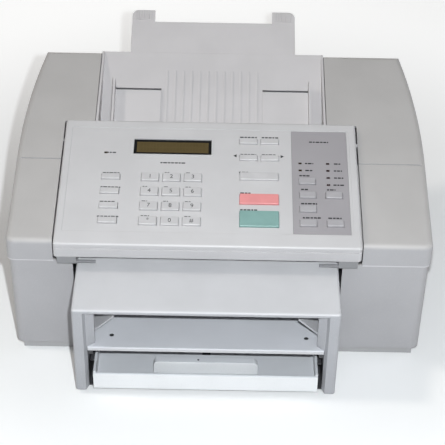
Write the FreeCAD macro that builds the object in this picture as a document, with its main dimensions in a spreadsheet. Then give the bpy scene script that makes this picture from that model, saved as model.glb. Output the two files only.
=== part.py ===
import FreeCAD, Part
import math
import os
import re

import Sketcher
from FreeCAD import Placement, Rotation, Vector

# A plain-paper fax machine: a wide case with a sloping deck, a hinged control panel, a sheet
# feeder on top and a paper tray that sticks out in front. Millimetres, +Z up, front at -Y.

doc = FreeCAD.newDocument("fax_machine")
sheet = doc.addObject("Spreadsheet::Sheet", "Dimensions")

DIMENSIONS = [
    ("case_width", 445),
    ("case_depth", 265),
    ("tray_reach", 66),
    ("extension_reach", 55),
    ("case_wall", 3),
    ("case_step", 2),
    ("floor_gap", 11),
    ("split_height", 125),
    ("shoulder_height", 151),
    ("deck_angle", 17),
    ("taper_start", 115),
    ("rear_taper", 18),
    ("edge_round", 7),
    ("shoulder_round", 4),
    ("corner_round", 9),
    ("seam_distance", 106),
    ("seam_width", 1.2),
    ("seam_depth", 1),
    ("flange_width", 16),
    ("pan_inset", 6),
    ("pan_side_inset", 9),
    ("pan_plate", 3),
    ("pan_rim", 3),
    ("foot_height", 1.2),
    ("leg_height", 5),
    ("foot_radius", 8),
    ("foot_setback", 40),
    ("foot_side", 63),
    ("hood_foot_radius", 5),
    ("hood_foot_setback", 14),
    ("screw_radius", 1.5),
    ("screw_head_radius", 3.2),
    ("screw_head_height", 2),
    ("screw_length", 5.5),
    ("screw_clearance", 0.1),
    ("screw_front", 35),
    ("screw_middle", 107),
    ("screw_spread", 200),
    ("screw_edge", 1),
    ("paper_axis", -12),
    ("panel_width", 318),
    ("panel_length", 170),
    ("panel_depth", 16),
    ("panel_overhang", 12),
    ("panel_proud", 9),
    ("panel_gap", 2.5),
    ("panel_rear_gap", 5),
    ("panel_wall", 3),
    ("panel_round", 3),
    ("face_thickness", 3.5),
    ("inset_margin", 8),
    ("inset_front", 17),
    ("inset_rear", 11),
    ("inset_depth", 0.5),
    ("lip_groove_drop", 5),
    ("lip_groove_width", 1.2),
    ("lip_groove_depth", 0.8),
    ("hinge_inset", 20),
    ("hinge_drop", 14),
    ("hinge_radius", 2.5),
    ("running_fit", 0.05),
    ("seat_gap", 0.3),
    ("seat_width", 5),
    ("seat_thickness", 3),
    ("seat_front", 12),
    ("seat_rear", 45),
    ("curtain_drop", 30),
    ("board_drop", 9),
    ("board_thickness", 1.6),
    ("board_margin", 16),
    ("post_radius", 2.5),
    ("post_edge", 2),
    ("post_middle", 8),
    ("back_thickness", 2.5),
    ("back_gap", 0.2),
    ("back_front_gap", 1.5),
    ("key_gap", 0.4),
    ("key_height", 2.2),
    ("key_round", 0.8),
    ("key_flange", 1.2),
    ("key_flange_lap", 0.8),
    ("key_rest_gap", 0.3),
    ("key_travel", 1.2),
    ("key_foot", 5),
    ("key_stop_gap", 0.4),
    ("keypad_x", -40.3),
    ("keypad_v", 60.6),
    ("key_pitch_x", 22.8),
    ("key_pitch_v", 19.5),
    ("digit_key_width", 18.6),
    ("digit_key_depth", 10.6),
    ("function_x", -105),
    ("function_key_width", 19.5),
    ("function_key_depth", 7.2),
    ("action_x", 53),
    ("action_pitch", 23),
    ("pair_v", 142),
    ("pair_key_width", 19.4),
    ("pair_key_depth", 7.2),
    ("arrow_v", 118.7),
    ("arrow_key_width", 19),
    ("arrow_key_depth", 7.2),
    ("wide_v", 93),
    ("wide_key_width", 41),
    ("wide_key_depth", 9.8),
    ("stop_v", 62.2),
    ("stop_key_depth", 13.2),
    ("start_v", 36.1),
    ("start_key_depth", 20.4),
    ("settings_x", 118.2),
    ("settings_v", 88),
    ("settings_width", 60),
    ("settings_depth", 140),
    ("settings_thickness", 1.2),
    ("settings_gap", 0.2),
    ("settings_pitch_x", 28),
    ("settings_pitch_v", 18.6),
    ("settings_top_v", 87.7),
    ("settings_key_width", 17.4),
    ("settings_key_depth", 8),
    ("light_width", 3.4),
    ("light_depth", 1.9),
    ("light_gap", 0.2),
    ("light_inset", 21),
    ("light_top_v", 112.8),
    ("light_pitch", 9.7),
    ("right_light_x", 126.8),
    ("light_proud", 0.3),
    ("power_light_x", -112.4),
    ("power_light_v", 123.4),
    ("lcd_x", -40.6),
    ("lcd_v", 132.7),
    ("lcd_width", 84),
    ("lcd_depth", 21),
    ("lcd_sink", 0.9),
    ("lcd_gap", 0.2),
    ("bezel_border", 2.6),
    ("bezel_height", 0.5),
    ("latch_travel", 3),
    ("latch_width", 306),
    ("latch_bar", 6),
    ("latch_thickness", 2.5),
    ("latch_tab_inset", 3),
    ("latch_tab_width", 20),
    ("latch_tab_drop", 12),
    ("latch_arm_length", 20),
    ("latch_arm_height", 2.5),
    ("latch_arm_drop", 8),
    ("latch_tongue_width", 12),
    ("latch_tongue_inset", 60),
    ("latch_tongue_height", 4),
    ("latch_gap", 0.3),
    ("latch_setback", 3),
    ("latch_tab_setback", 0.4),
    ("feed_angle", 30),
    ("feed_length", 125),
    ("feed_drop", 3),
    ("feed_width", 256),
    ("feed_gap", 0.6),
    ("feed_floor", 3),
    ("feed_wall", 2.5),
    ("feed_skirt", 12),
    ("rib_count", 12),
    ("rib_pitch", 9.4),
    ("rib_width", 2),
    ("rib_height", 1.5),
    ("rib_start", 3),
    ("rib_length", 97),
    ("guide_spread", 220),
    ("guide_wall", 2.5),
    ("guide_height", 14),
    ("guide_start", 16),
    ("guide_length", 65),
    ("guide_flap", 52),
    ("guide_flap_start", 6),
    ("guide_flap_length", 68),
    ("guide_flap_thickness", 1.6),
    ("guide_ramp_height", 3.2),
    ("guide_ramp_length", 1.5),
    ("guide_ramp_edge", 0.8),
    ("guide_gap", 0.3),
    ("guide_travel", 34),
    ("guide_tongue", 6),
    ("guide_tongue_inset", 8),
    ("slot_gap", 0.5),
    ("pinion_s", 18),
    ("tooth_module", 1.5),
    ("pinion_teeth", 12),
    ("tooth_backlash", 0.4),
    ("pinion_thickness", 4),
    ("pinion_pin_radius", 2.5),
    ("rack_gap", 0.4),
    ("rack_back", 3.5),
    ("rack_tail", 8),
    ("extension_width", 192),
    ("extension_thickness", 2.5),
    ("extension_gap", 0.4),
    ("extension_hidden", 45),
    ("extension_travel", 42),
    ("extension_round", 8),
    ("prong_width", 27),
    ("prong_length", 16),
    ("rail_width", 2.6),
    ("rail_lip", 3),
    ("rail_lip_thickness", 2),
    ("hood_width", 274),
    ("hood_wall", 14),
    ("hood_skin", 3),
    ("hood_thickness", 4),
    ("hood_lip_height", 113),
    ("hood_angle", 10),
    ("hood_back", 28),
    ("hood_round", 3),
    ("leg_chamfer_width", 3),
    ("leg_chamfer_depth", 7),
    ("cheek_setback", 6),
    ("bay_floor_setback", 7),
    ("bay_floor_thickness", 1.5),
    ("notch_gap", 4.5),
    ("deck_height", 60),
    ("deck_thickness", 5.5),
    ("deck_setback", 5),
    ("deck_back", 20),
    ("deck_gap", 0.3),
    ("deck_ledge", 5),
    ("deck_hole_radius", 2.4),
    ("deck_hole_spread", 204),
    ("deck_hole_shift", 2.9),
    ("deck_hole_setback", 20),
    ("wing_height", 71.5),
    ("wing_length", 31),
    ("wing_thickness", 1.8),
    ("wing_depth", 40),
    ("wing_setback", 12),
    ("wing_angle", 42),
    ("wing_pin_radius", 1.6),
    ("wing_pin_offset", 4.5),
    ("wing_lug", 4),
    ("wing_lug_wall", 1.4),
    ("wing_gap", 0.3),
    ("tray_width", 236),
    ("tray_floor", 2.5),
    ("tray_wall", 2.5),
    ("tray_rise", 30),
    ("tray_clearance", 0.4),
    ("tray_length", 276),
    ("tray_lip_thickness", 4),
    ("tray_lip_bottom", 6.4),
    ("tray_lip_top", 28),
    ("tray_lip_round", 1.8),
    ("tray_flange_start", 20),
    ("tray_flange_gap", 0.6),
    ("tray_travel", 60),
    ("adjuster_width", 110),
    ("adjuster_length", 30),
    ("adjuster_thickness", 2.5),
    ("adjuster_bar", 7),
    ("adjuster_height", 33),
    ("adjuster_setback", 10.5),
    ("adjuster_tongue", 8),
    ("adjuster_gap", 0.4),
    ("adjuster_round", 5),
    ("adjuster_travel", 60),
    ("frame_spread", 300),
    ("frame_plate", 2),
    ("frame_front", 35),
    ("frame_rear", 40),
    ("frame_slope", 45),
    ("frame_top", 158),
    ("frame_shoulder", 136),
    ("frame_beam_height", 80),
    ("rod_distance", 112),
    ("rod_height", 100),
    ("rod_radius", 5),
    ("carriage_width", 70),
    ("carriage_front", 62),
    ("carriage_back", 126),
    ("carriage_bottom", 74),
    ("carriage_top", 124),
    ("carriage_wall", 3),
    ("carriage_park", 52),
    ("carriage_travel", 190),
    ("cartridge_depth", 32),
    ("cartridge_gap", 0.2),
    ("cartridge_proud", 3),
    ("nozzle_drop", 7),
    ("nozzle_inset", 6),
    ("feeder_distance", 118),
    ("feeder_height", 147),
    ("feeder_radius", 10),
    ("feeder_shaft_radius", 3),
    ("feeder_width", 34),
    ("feeder_spread", 150),
    ("scan_front", 62),
    ("scan_back", 88),
    ("scan_bottom", 129),
    ("scan_top", 149),
    ("scan_glass", 12),
    ("scan_glass_sink", 1),
    ("picker_distance", 80),
    ("picker_height", 80),
    ("picker_radius", 28),
    ("picker_shaft_radius", 4),
    ("picker_width", 30),
    ("picker_spread", 110),
    ("gear_radius", 15),
    ("gear_width", 6),
    ("gear_gap", 1),
    ("main_board_distance", 23),
    ("main_board_left", -60),
    ("main_board_right", 186),
    ("main_board_top", 104),
    ("jack_width", 13),
    ("jack_height", 13),
    ("jack_bottom", 22),
    ("jack_x", 158),
    ("jack_pitch", 18),
    ("jack_socket_width", 9.5),
    ("jack_socket_height", 7),
    ("jack_socket_depth", 11),
    ("inlet_x", 112),
    ("inlet_width", 27),
    ("inlet_height", 20),
    ("inlet_wall", 2),
    ("inlet_depth", 13),
    ("jack_gap", 0.4),
    ("jack_proud", 0.5),
]

SIZE = dict(DIMENSIONS)
for row, (alias, size) in enumerate(DIMENSIONS, 1):
    sheet.set(f"A{row}", alias)
    sheet.set(f"B{row}", str(size))
    sheet.setAlias(f"B{row}", alias)
doc.recompute()

# Formulas shared by the pieces. FRONT and REAR are the case's front and rear faces.
FRONT = "(tray_reach - (tray_reach + case_depth + extension_reach)/2)"
REAR = f"({FRONT} + case_depth)"
HOOD_FRONT = f"({FRONT} - tray_reach)"
HALF = "(case_width/2)"
PANEL_Y = f"({FRONT} - panel_overhang)"
PANEL_Z = "(shoulder_height - panel_overhang*tan(deck_angle) + panel_proud/cos(deck_angle))"
DECK_REAR = "(shoulder_height + case_depth*tan(deck_angle))"
FEED_Y = f"({REAR} - feed_length*cos(feed_angle))"
FEED_Z = f"({DECK_REAR} - feed_drop - feed_length*sin(feed_angle))"
HOOD_HALF = "(hood_width/2)"
HOOD_INNER = "(hood_width/2 - hood_wall)"
HOOD_BACK = f"({FRONT} + hood_back)"
PITCH_RADIUS = "(tooth_module*pinion_teeth/2)"

AXES = {"x": Rotation(Vector(0, 1, 0), 90), "y": Rotation(Vector(1, 0, 0), -90), "z": Rotation()}
nodes = []


def formula(text):
    """The text with the sheet's name before each of its aliases."""
    return re.sub(r"[A-Za-z_]\w*", lambda m: "Dimensions." + m.group() if m.group() in SIZE else m.group(),
                  str(text))


def bind(item, prop, text):
    item.setExpression(prop, formula(text))


def node(name, item):
    """Names a finished sub-part."""
    item.Label = name
    nodes.append(item)
    return item


def block(name, x, y, z):
    """A box between three pairs of formulas."""
    box = doc.addObject("Part::Box", name)
    for side, axis, (low, high) in (("Length", "x", x), ("Width", "y", y), ("Height", "z", z)):
        bind(box, side, f"({high}) - ({low})")
        bind(box, "Placement.Base." + axis, low)
    return box


def rod(name, axis, ends, radius, at):
    """A cylinder along one axis; at gives the other two coordinates in order."""
    item = doc.addObject("Part::Cylinder", name)
    item.Placement = Placement(Vector(), AXES[axis])
    bind(item, "Radius", radius)
    bind(item, "Height", f"({ends[1]}) - ({ends[0]})")
    others = [a for a in "xyz" if a != axis]
    bind(item, "Placement.Base." + axis, ends[0])
    for other, text in zip(others, at):
        bind(item, "Placement.Base." + other, text)
    return item


def fuse(name, *shapes):
    item = doc.addObject("Part::MultiFuse", name)
    item.Shapes = list(shapes)
    return item


def group(name, *shapes):
    item = doc.addObject("Part::Compound", name)
    item.Links = list(shapes)
    return item


def cut(name, base, *tools):
    item = doc.addObject("Part::Cut", name)
    item.Base = base
    item.Tool = tools[0] if len(tools) == 1 else fuse(name + "_tools", *tools)
    return item


def number(alias):
    return float(sheet.get(alias))


def rounded(name, base, radius, chosen):
    """Rounds the edges of base whose middle point passes the test."""
    doc.recompute()
    item = doc.addObject("Part::Fillet", name)
    item.Base = base
    size = number(radius)
    found = []
    for index, edge in enumerate(base.Shape.Edges, 1):
        middle = edge.valueAt((edge.FirstParameter + edge.LastParameter)/2)
        if chosen(middle, edge):
            found.append((index, size, size))
    item.Edges = found
    return item


def plane_of(body, role):
    return next(item for item in body.Origin.OriginFeatures if item.Role == role)


def outline(body, role, points, offset):
    """A closed polygon sketched on one of the body's planes, moved along the plane's normal."""
    sketch = body.newObject("Sketcher::SketchObject", body.Name + "_outline")
    sketch.AttachmentSupport = [(plane_of(body, role), "")]
    sketch.MapMode = "FlatFace"
    bind(sketch, "AttachmentOffset.Base.z", offset)
    count = len(points)
    turns = [2*math.pi*step/count for step in range(count)]
    start = [Vector(100*math.cos(turn), 100*math.sin(turn), 0) for turn in turns]
    sketch.addGeometry([Part.LineSegment(start[step], start[(step + 1) % count]) for step in range(count)])
    sketch.addConstraint([Sketcher.Constraint("Coincident", i, 2, (i + 1) % count, 1)
                          for i in range(count)])
    for step, point in enumerate(points):
        for kind, text in zip(("DistanceX", "DistanceY"), point):
            index = sketch.addConstraint(Sketcher.Constraint(kind, -1, 1, step, 1, 1.0))
            bind(sketch, f"Constraints[{index}]", text)
    return sketch


def pad(body, role, points, low, high):
    """Pads an outline from low to high along the plane's axis."""
    sketch = outline(body, role, points, f"-({high})" if role == "XZ_Plane" else low)
    item = body.newObject("PartDesign::Pad", body.Name + "_pad")
    item.Profile = sketch
    bind(item, "Length", f"({high}) - ({low})")
    body.Tip = item
    return item


def prism(name, points, low, high):
    """A body: a side outline in Y and Z, padded along X."""
    body = doc.addObject("PartDesign::Body", name)
    pad(body, "YZ_Plane", points, low, high)
    return body


def post(name, points, low, high):
    """A body: a plan outline in X and Y, padded along Z."""
    body = doc.addObject("PartDesign::Body", name)
    pad(body, "XY_Plane", points, low, high)
    return body


def turned(name, points):
    """A body turned about its own X axis from a half outline in X and Y."""
    body = doc.addObject("PartDesign::Body", name)
    sketch = outline(body, "XY_Plane", points, "0")
    item = body.newObject("PartDesign::Revolution", name + "_turn")
    item.Profile = sketch
    item.ReferenceAxis = (plane_of(body, "X_Axis"), [""])
    item.Angle = 360
    body.Tip = item
    return body


def tapered(name, base, inset, low, high):
    """Draws both sides in towards the rear along a wide arc, inset from the case's outside."""
    length = "(case_depth - taper_start)"
    arc = f"(({length}*{length} + rear_taper*rear_taper)/(2*rear_taper))"
    start = f"{FRONT} + taper_start"
    tools = []
    for side, sign in (("left", "-"), ("right", "")):
        near, far = f"{HALF} - 2*rear_taper - ({inset})", f"{HALF} + 5"
        across = (near, far) if sign == "" else (f"-({far})", f"-({near})")
        corner = block(f"{name}_{side}_corner", across, (start, f"{REAR} + 5"), (low, high))
        round_part = rod(f"{name}_{side}_arc", "z", (f"({low}) - 1", f"({high}) + 1"), f"{arc} - ({inset})",
                         (f"{sign}({HALF} - {arc})", start))
        tools.append(cut(f"{name}_{side}_waste", corner, round_part))
    return cut(name, base, *tools)


def deck(distance, drop="0"):
    """Height of the sloping deck at a distance behind the case's front, less a vertical drop."""
    return f"(shoulder_height + ({distance})*tan(deck_angle) - ({drop}))"


def on_panel(v, w):
    """Y and Z of a panel point: v up the slope from the front edge, w out of the face."""
    return (f"({PANEL_Y} + ({v})*cos(deck_angle) - ({w})*sin(deck_angle))",
            f"({PANEL_Z} + ({v})*sin(deck_angle) + ({w})*cos(deck_angle))")


def in_feed(point):
    """A point's s and n in the document tray's frame, from its Y and Z."""
    y, z = point
    return (f"((({y}) - {FEED_Y})*cos(feed_angle) + (({z}) - {FEED_Z})*sin(feed_angle))",
            f"((({z}) - {FEED_Z})*cos(feed_angle) - (({y}) - {FEED_Y})*sin(feed_angle))")


def place_on_panel(item):
    item.Placement = Placement(Vector(), Rotation(Vector(1, 0, 0), 10))
    bind(item, "Placement.Rotation.Angle", "deck_angle")
    bind(item, "Placement.Base.x", "paper_axis")
    bind(item, "Placement.Base.y", PANEL_Y)
    bind(item, "Placement.Base.z", PANEL_Z)
    return item


def place_on_feed(item):
    item.Placement = Placement(Vector(), Rotation(Vector(1, 0, 0), 10))
    bind(item, "Placement.Rotation.Angle", "feed_angle")
    bind(item, "Placement.Base.x", "paper_axis")
    bind(item, "Placement.Base.y", FEED_Y)
    bind(item, "Placement.Base.z", FEED_Z)
    return item


def both(text):
    """The pair of formulas either side of zero."""
    return (f"-({text})", f"({text})")


def about(middle, width):
    return (f"({middle}) - ({width})/2", f"({middle}) + ({width})/2")


def sided(sign, low, high):
    """The pair of formulas on the right, or their mirror image on the left."""
    return (low, high) if sign > 0 else (f"-({high})", f"-({low})")


def behind(distance):
    """Y at a distance behind the case's front face."""
    return f"({FRONT} + ({distance}))"


def ahead(distance):
    """Y at a distance ahead of the case's rear face."""
    return f"({REAR} - ({distance}))"


# Base pan: a plate with a rim, set in under the case.
pan_sides = both(f"{HALF} - pan_side_inset")
pan_ends = (behind("pan_inset"), f"{REAR} - pan_inset")
pan_solid = tapered("pan_solid", block("pan_block", pan_sides, pan_ends, ("foot_height", "floor_gap")),
                    "pan_side_inset", "0", "floor_gap + 1")
hollow_sides = both(f"{HALF} - pan_side_inset - pan_rim")
hollow_ends = (behind("pan_inset + pan_rim"), f"{REAR} - pan_inset - pan_rim")
pan_hollow = tapered("pan_hollow", block("pan_hollow_block", hollow_sides, hollow_ends,
                                         ("0", "floor_gap - pan_plate")), "pan_side_inset + pan_rim", "-1",
                     "floor_gap")
SCREW_X = f"({HALF} - pan_side_inset - pan_rim - screw_head_radius - screw_edge)"
SCREW_REAR = f"({REAR} - pan_inset - pan_rim - screw_head_radius - screw_edge)"
screw_places = [(f"-{SCREW_X}", behind("screw_front")), (f"{SCREW_X}", behind("screw_front")),
                (f"-{SCREW_X}", behind("screw_middle")), (f"{SCREW_X}", behind("screw_middle")),
                ("-screw_spread/2", SCREW_REAR), ("screw_spread/2", SCREW_REAR)]
SCREW_LOW = "(floor_gap - pan_plate)"
screw_holes = fuse("screw_holes",
                   *[rod(f"screw_hole_{i}", "z", (f"{SCREW_LOW} - 1", f"{SCREW_LOW} + screw_length + 0.5"),
                         "screw_radius + screw_clearance", at) for i, at in enumerate(screw_places)])
node("base_pan", cut("base_pan", pan_solid, pan_hollow, screw_holes))
screws = []
for i, at in enumerate(screw_places):
    head = rod(f"screw_head_{i}", "z", (f"{SCREW_LOW} - screw_head_height", SCREW_LOW), "screw_head_radius",
               at)
    shank = rod(f"screw_shank_{i}", "z", (SCREW_LOW, f"{SCREW_LOW} + screw_length"), "screw_radius", at)
    screws.append(fuse(f"screw_{i}", head, shank))
node("case_screws", group("case_screws", *screws))

FOOT_X = f"({HALF} - foot_side)"
feet = []
for i, (x, y) in enumerate([(f"-{FOOT_X}", behind("foot_setback")), (FOOT_X, behind("foot_setback")),
                            (f"-{FOOT_X}", f"{REAR} - foot_setback"), (FOOT_X, f"{REAR} - foot_setback")]):
    feet.append(rod(f"foot_{i}", "z", ("0", SCREW_LOW), "foot_radius", (x, y)))
for i, sign in enumerate(("-", "+")):
    x = f"paper_axis {sign} ({HOOD_HALF} - hood_wall/2)"
    feet.append(rod(f"hood_foot_{i}", "z", ("0", "leg_height"), "hood_foot_radius",
                    (x, f"{HOOD_FRONT} + hood_foot_setback")))
node("rubber_feet", group("rubber_feet", *feet))

# Lower case: four walls with an inner flange that sits on the pan, open in front for the tray.
LOW_SIDE = f"({HALF} - case_step)"
low_outer = block("low_outer", both(LOW_SIDE), (behind("case_step"), f"{REAR} - case_step"),
                  ("floor_gap", "split_height"))
low_round = rounded("low_round", low_outer, "corner_round",
                    lambda p, e: abs(e.tangentAt(e.FirstParameter).z) > 0.9 and p.y < 0)
low_solid = tapered("low_solid", low_round, "case_step", "0", "split_height + 5")
low_room = tapered("low_room", block("low_room_block", both(f"{LOW_SIDE} - case_wall"),
                                     (behind("case_step + case_wall"), f"{REAR} - case_step - case_wall"),
                                     ("floor_gap + case_wall", "split_height + 1")),
                   "case_step + case_wall", "0", "split_height + 5")
INSIDE = "(case_step + case_wall + flange_width)"
low_hole = tapered("low_hole", block("low_hole_block", both(f"{HALF} - {INSIDE}"),
                                     (behind(INSIDE), f"{REAR} - {INSIDE}"), ("0", "split_height")),
                   INSIDE, "-1", "split_height + 5")
low_notch = block("low_notch", about("paper_axis", "hood_width + 2*notch_gap"),
                  (behind("-5"), behind(f"{INSIDE} + 1")), ("0", "split_height + 5"))
BOARD_Y = ahead("main_board_distance - board_thickness")
JACK_END = f"({REAR} - case_step + jack_proud)"
jack_ranges = [(f"jack_x - jack_width/2 + {i}*jack_pitch", f"jack_x + jack_width/2 + {i}*jack_pitch")
               for i in (0, 1)]
inlet_range = about("inlet_x", "inlet_width")
rear_holes = []
for i, (low, high) in enumerate(jack_ranges):
    rear_holes.append(block(f"jack_hole_{i}", (f"{low} - jack_gap", f"{high} + jack_gap"),
                            (f"{REAR} - 12", f"{REAR} + 5"),
                            ("jack_bottom - jack_gap", "jack_bottom + jack_height + jack_gap")))
rear_holes.append(block("inlet_hole", (f"{inlet_range[0]} - jack_gap", f"{inlet_range[1]} + jack_gap"),
                        (f"{REAR} - 12", f"{REAR} + 5"),
                        ("jack_bottom - jack_gap", "jack_bottom + inlet_height + jack_gap")))
node("lower_case", cut("lower_case", low_solid, low_room, low_hole, low_notch, screw_holes, *rear_holes))

# Top cover: a sloping shell with the panel's opening, the feeder's opening and the panel's seats.
top_outline = [(FRONT, "split_height"), (REAR, "split_height"), (REAR, DECK_REAR),
               (FRONT, "shoulder_height")]
top_outer = tapered("top_outer", prism("top_prism", top_outline, f"-{HALF}", HALF), "0", "split_height - 5",
                    f"{DECK_REAR} + 20")
whole_depth = number("tray_reach") + number("case_depth") + number("extension_reach")
front_edge = number("tray_reach") - whole_depth/2
shoulder = number("shoulder_height")
slope = math.tan(math.radians(number("deck_angle")))


def on_deck(p):
    return abs(p.z - shoulder - (p.y - front_edge)*slope) < 0.01


top_corner = rounded("top_corner", top_outer, "corner_round",
                     lambda p, e: p.y < front_edge + 0.01 and abs(e.tangentAt(e.FirstParameter).z) > 0.9)
top_edges = rounded("top_edges", top_corner, "edge_round", lambda p, e: on_deck(p)
                    and p.y > front_edge + 0.01)
inner_outline = [(behind("case_wall"), "split_height - 1"), (f"{REAR} - case_wall", "split_height - 1"),
                 (f"{REAR} - case_wall", deck("case_depth - case_wall", "case_wall/cos(deck_angle)")),
                 (behind("case_wall"), deck("case_wall", "case_wall/cos(deck_angle)"))]
top_inner = tapered("top_inner", prism("top_inner_prism", inner_outline, f"-({HALF} - case_wall)",
                                       f"{HALF} - case_wall"), "case_wall", "split_height - 5",
                    f"{DECK_REAR} + 20")
top_room = rounded("top_room", top_inner, "shoulder_round", lambda p, e: p.z > shoulder - 3.5
                   and p.y > front_edge + 5)
OPEN_SIDE = "(panel_width/2 + panel_gap)"
OPEN_END = "(panel_length + panel_rear_gap)"
panel_opening = prism("panel_opening", [(behind("-5"), "split_height - 5"), on_panel(OPEN_END, "-90"),
                                        on_panel(OPEN_END, "90"), (behind("-5"), f"{PANEL_Z} + 90")],
                      f"paper_axis - {OPEN_SIDE}", f"paper_axis + {OPEN_SIDE}")
feed_opening = block("feed_opening", both("feed_width/2 + feed_gap"), ("-20", "feed_length + 60"),
                     ("-feed_skirt", "90"))
feed_opening_set = place_on_feed(group("feed_opening_set", feed_opening))
SEAM_LOW, SEAM_HIGH = "(seam_distance - seam_width/2)", "(seam_distance + seam_width/2)"
seam_top = prism("seam_top", [(behind(SEAM_LOW), deck(SEAM_LOW, "seam_depth")),
                              (behind(SEAM_HIGH), deck(SEAM_HIGH, "seam_depth")),
                              (behind(SEAM_HIGH), f"{DECK_REAR} + 9"),
                              (behind(SEAM_LOW), f"{DECK_REAR} + 9")], f"-{HALF} - 5", f"{HALF} + 5")
seam_left = block("seam_left", (f"-{HALF} - 5", f"-{HALF} + seam_depth"),
                  (behind(SEAM_LOW), behind(SEAM_HIGH)), ("split_height + 12", f"{DECK_REAR}"))
seam_right = block("seam_right", (f"{HALF} - seam_depth", f"{HALF} + 5"),
                   (behind(SEAM_LOW), behind(SEAM_HIGH)), ("split_height + 12", f"{DECK_REAR}"))
top_shell = cut("top_shell", top_edges, top_room, panel_opening, feed_opening_set, seam_top, seam_left,
                seam_right)
SEAT_TOP = "-(panel_depth + seat_gap)"
SEAT_LOW = "-(panel_depth + seat_gap + seat_thickness)"
curtain_outline = [(behind("case_wall - 1"), "split_height"), (behind("case_wall + 20"), "split_height"),
                   on_panel("panel_length", "-panel_proud - curtain_drop"),
                   on_panel("panel_length", "-panel_proud - 1"),
                   (behind("case_wall - 1"), deck("case_wall - 1", "1"))]
added = []
for side, sign in (("left", "-"), ("right", "+")):
    if sign == "-":
        edges = [f"paper_axis - ({OPEN_SIDE} + case_wall)", f"paper_axis - {OPEN_SIDE}"]
        seat_edges = (f"paper_axis - {OPEN_SIDE} - 1", "paper_axis - panel_width/2 + seat_width")
    else:
        edges = [f"paper_axis + {OPEN_SIDE}", f"paper_axis + ({OPEN_SIDE} + case_wall)"]
        seat_edges = ("paper_axis + panel_width/2 - seat_width", f"paper_axis + {OPEN_SIDE} + 1")
    added.append(prism(f"{side}_curtain", curtain_outline, *edges))
    added.append(prism(f"{side}_seat", [on_panel("seat_front", SEAT_LOW),
                                        on_panel("panel_length - seat_rear", SEAT_LOW),
                                        on_panel("panel_length - seat_rear", SEAT_TOP),
                                        on_panel("seat_front", SEAT_TOP)], *seat_edges))
HINGE = on_panel("panel_length - hinge_inset", "-hinge_drop")
hinge_bore = rod("hinge_bore", "x", (f"paper_axis - {OPEN_SIDE} - 20", f"paper_axis + {OPEN_SIDE} + 20"),
                 "hinge_radius + running_fit", HINGE)
node("top_cover", cut("top_cover", fuse("top_whole", top_shell, *added), hinge_bore))

# Control panel, in its own frame: x from the paper's centre line, v up the slope, w out of the face.
PANEL_HALF = "(panel_width/2)"
lip = "-panel_depth*tan(deck_angle)"
frame_prism = prism("frame_prism", [("0", "0"), (lip, "-panel_depth"), ("panel_length", "-panel_depth"),
                                    ("panel_length", "0")], f"-{PANEL_HALF}", PANEL_HALF)
panel_edge = number("panel_width")/2
frame_round = rounded("frame_round", frame_prism, "panel_round", lambda p, e: p.z > -0.01
                      or (abs(p.x) > panel_edge - 0.01 and abs(e.tangentAt(e.FirstParameter).z) > 0.5))
frame_room = block("frame_room", both(f"{PANEL_HALF} - panel_wall"),
                   ("panel_wall", "panel_length - panel_wall"), ("-panel_depth - 1", "-face_thickness"))
frame_inset = block("frame_inset", both(f"{PANEL_HALF} - inset_margin"),
                    ("inset_front", "panel_length - inset_rear"), ("-inset_depth", "9"))
lip_groove = block("lip_groove", both(f"{PANEL_HALF} + 1"),
                   ("-20", "lip_groove_depth - lip_groove_drop*tan(deck_angle)"),
                   ("-lip_groove_drop - lip_groove_width", "-lip_groove_drop"))
bezel = block("bezel", about("lcd_x", "lcd_width + 2*bezel_border"),
              about("lcd_v", "lcd_depth + 2*bezel_border"),
              ("-inset_depth - 1", "-inset_depth + bezel_height"))
lcd_hole = block("lcd_hole", about("lcd_x", "lcd_width + 2*lcd_gap"),
                 about("lcd_v", "lcd_depth + 2*lcd_gap"), ("-20", "9"))
PLATE_TOP = "-inset_depth"
plate_pocket = block("plate_pocket", about("settings_x", "settings_width + 2*settings_gap"),
                     about("settings_v", "settings_depth + 2*settings_gap"),
                     (f"{PLATE_TOP} - settings_thickness", "9"))

# Keys: name, x, v, width and depth of the cap.
keys = []
for place in range(12):
    column, line = place % 3, place//3
    keys.append((f"number_key_{place + 1}", f"keypad_x + {column - 1}*key_pitch_x",
                 f"keypad_v + {1.5 - line}*key_pitch_v", "digit_key_width", "digit_key_depth"))
for line in range(4):
    keys.append((f"function_key_{line + 1}", "function_x", f"keypad_v + {1.5 - line}*key_pitch_v",
                 "function_key_width", "function_key_depth"))
for name, side in (("left", -0.5), ("right", 0.5)):
    keys.append((f"{name}_upper_key", f"action_x + {side}*action_pitch", "pair_v", "pair_key_width",
                 "pair_key_depth"))
    keys.append((f"{name}_arrow_key", f"action_x + {side}*action_pitch", "arrow_v", "arrow_key_width",
                 "arrow_key_depth"))
keys.append(("wide_key", "action_x", "wide_v", "wide_key_width", "wide_key_depth"))
keys.append(("stop_key", "action_x", "stop_v", "wide_key_width", "stop_key_depth"))
keys.append(("start_key", "action_x", "start_v", "wide_key_width", "start_key_depth"))
for name, side, lines in (("left", -0.5, (0, 1, 2, 3)), ("right", 0.5, (1, 3))):
    for line in lines:
        keys.append((f"settings_key_{name}_{line + 1}", f"settings_x + {side}*settings_pitch_x",
                     f"settings_top_v - {line}*settings_pitch_v", "settings_key_width",
                     "settings_key_depth"))
key_holes = []
for name, x, v, width, depth in keys:
    key_holes.append(block(f"{name}_hole", about(x, f"{width} + 2*key_gap"),
                           about(v, f"{depth} + 2*key_gap"), ("-20", "9")))

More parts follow.
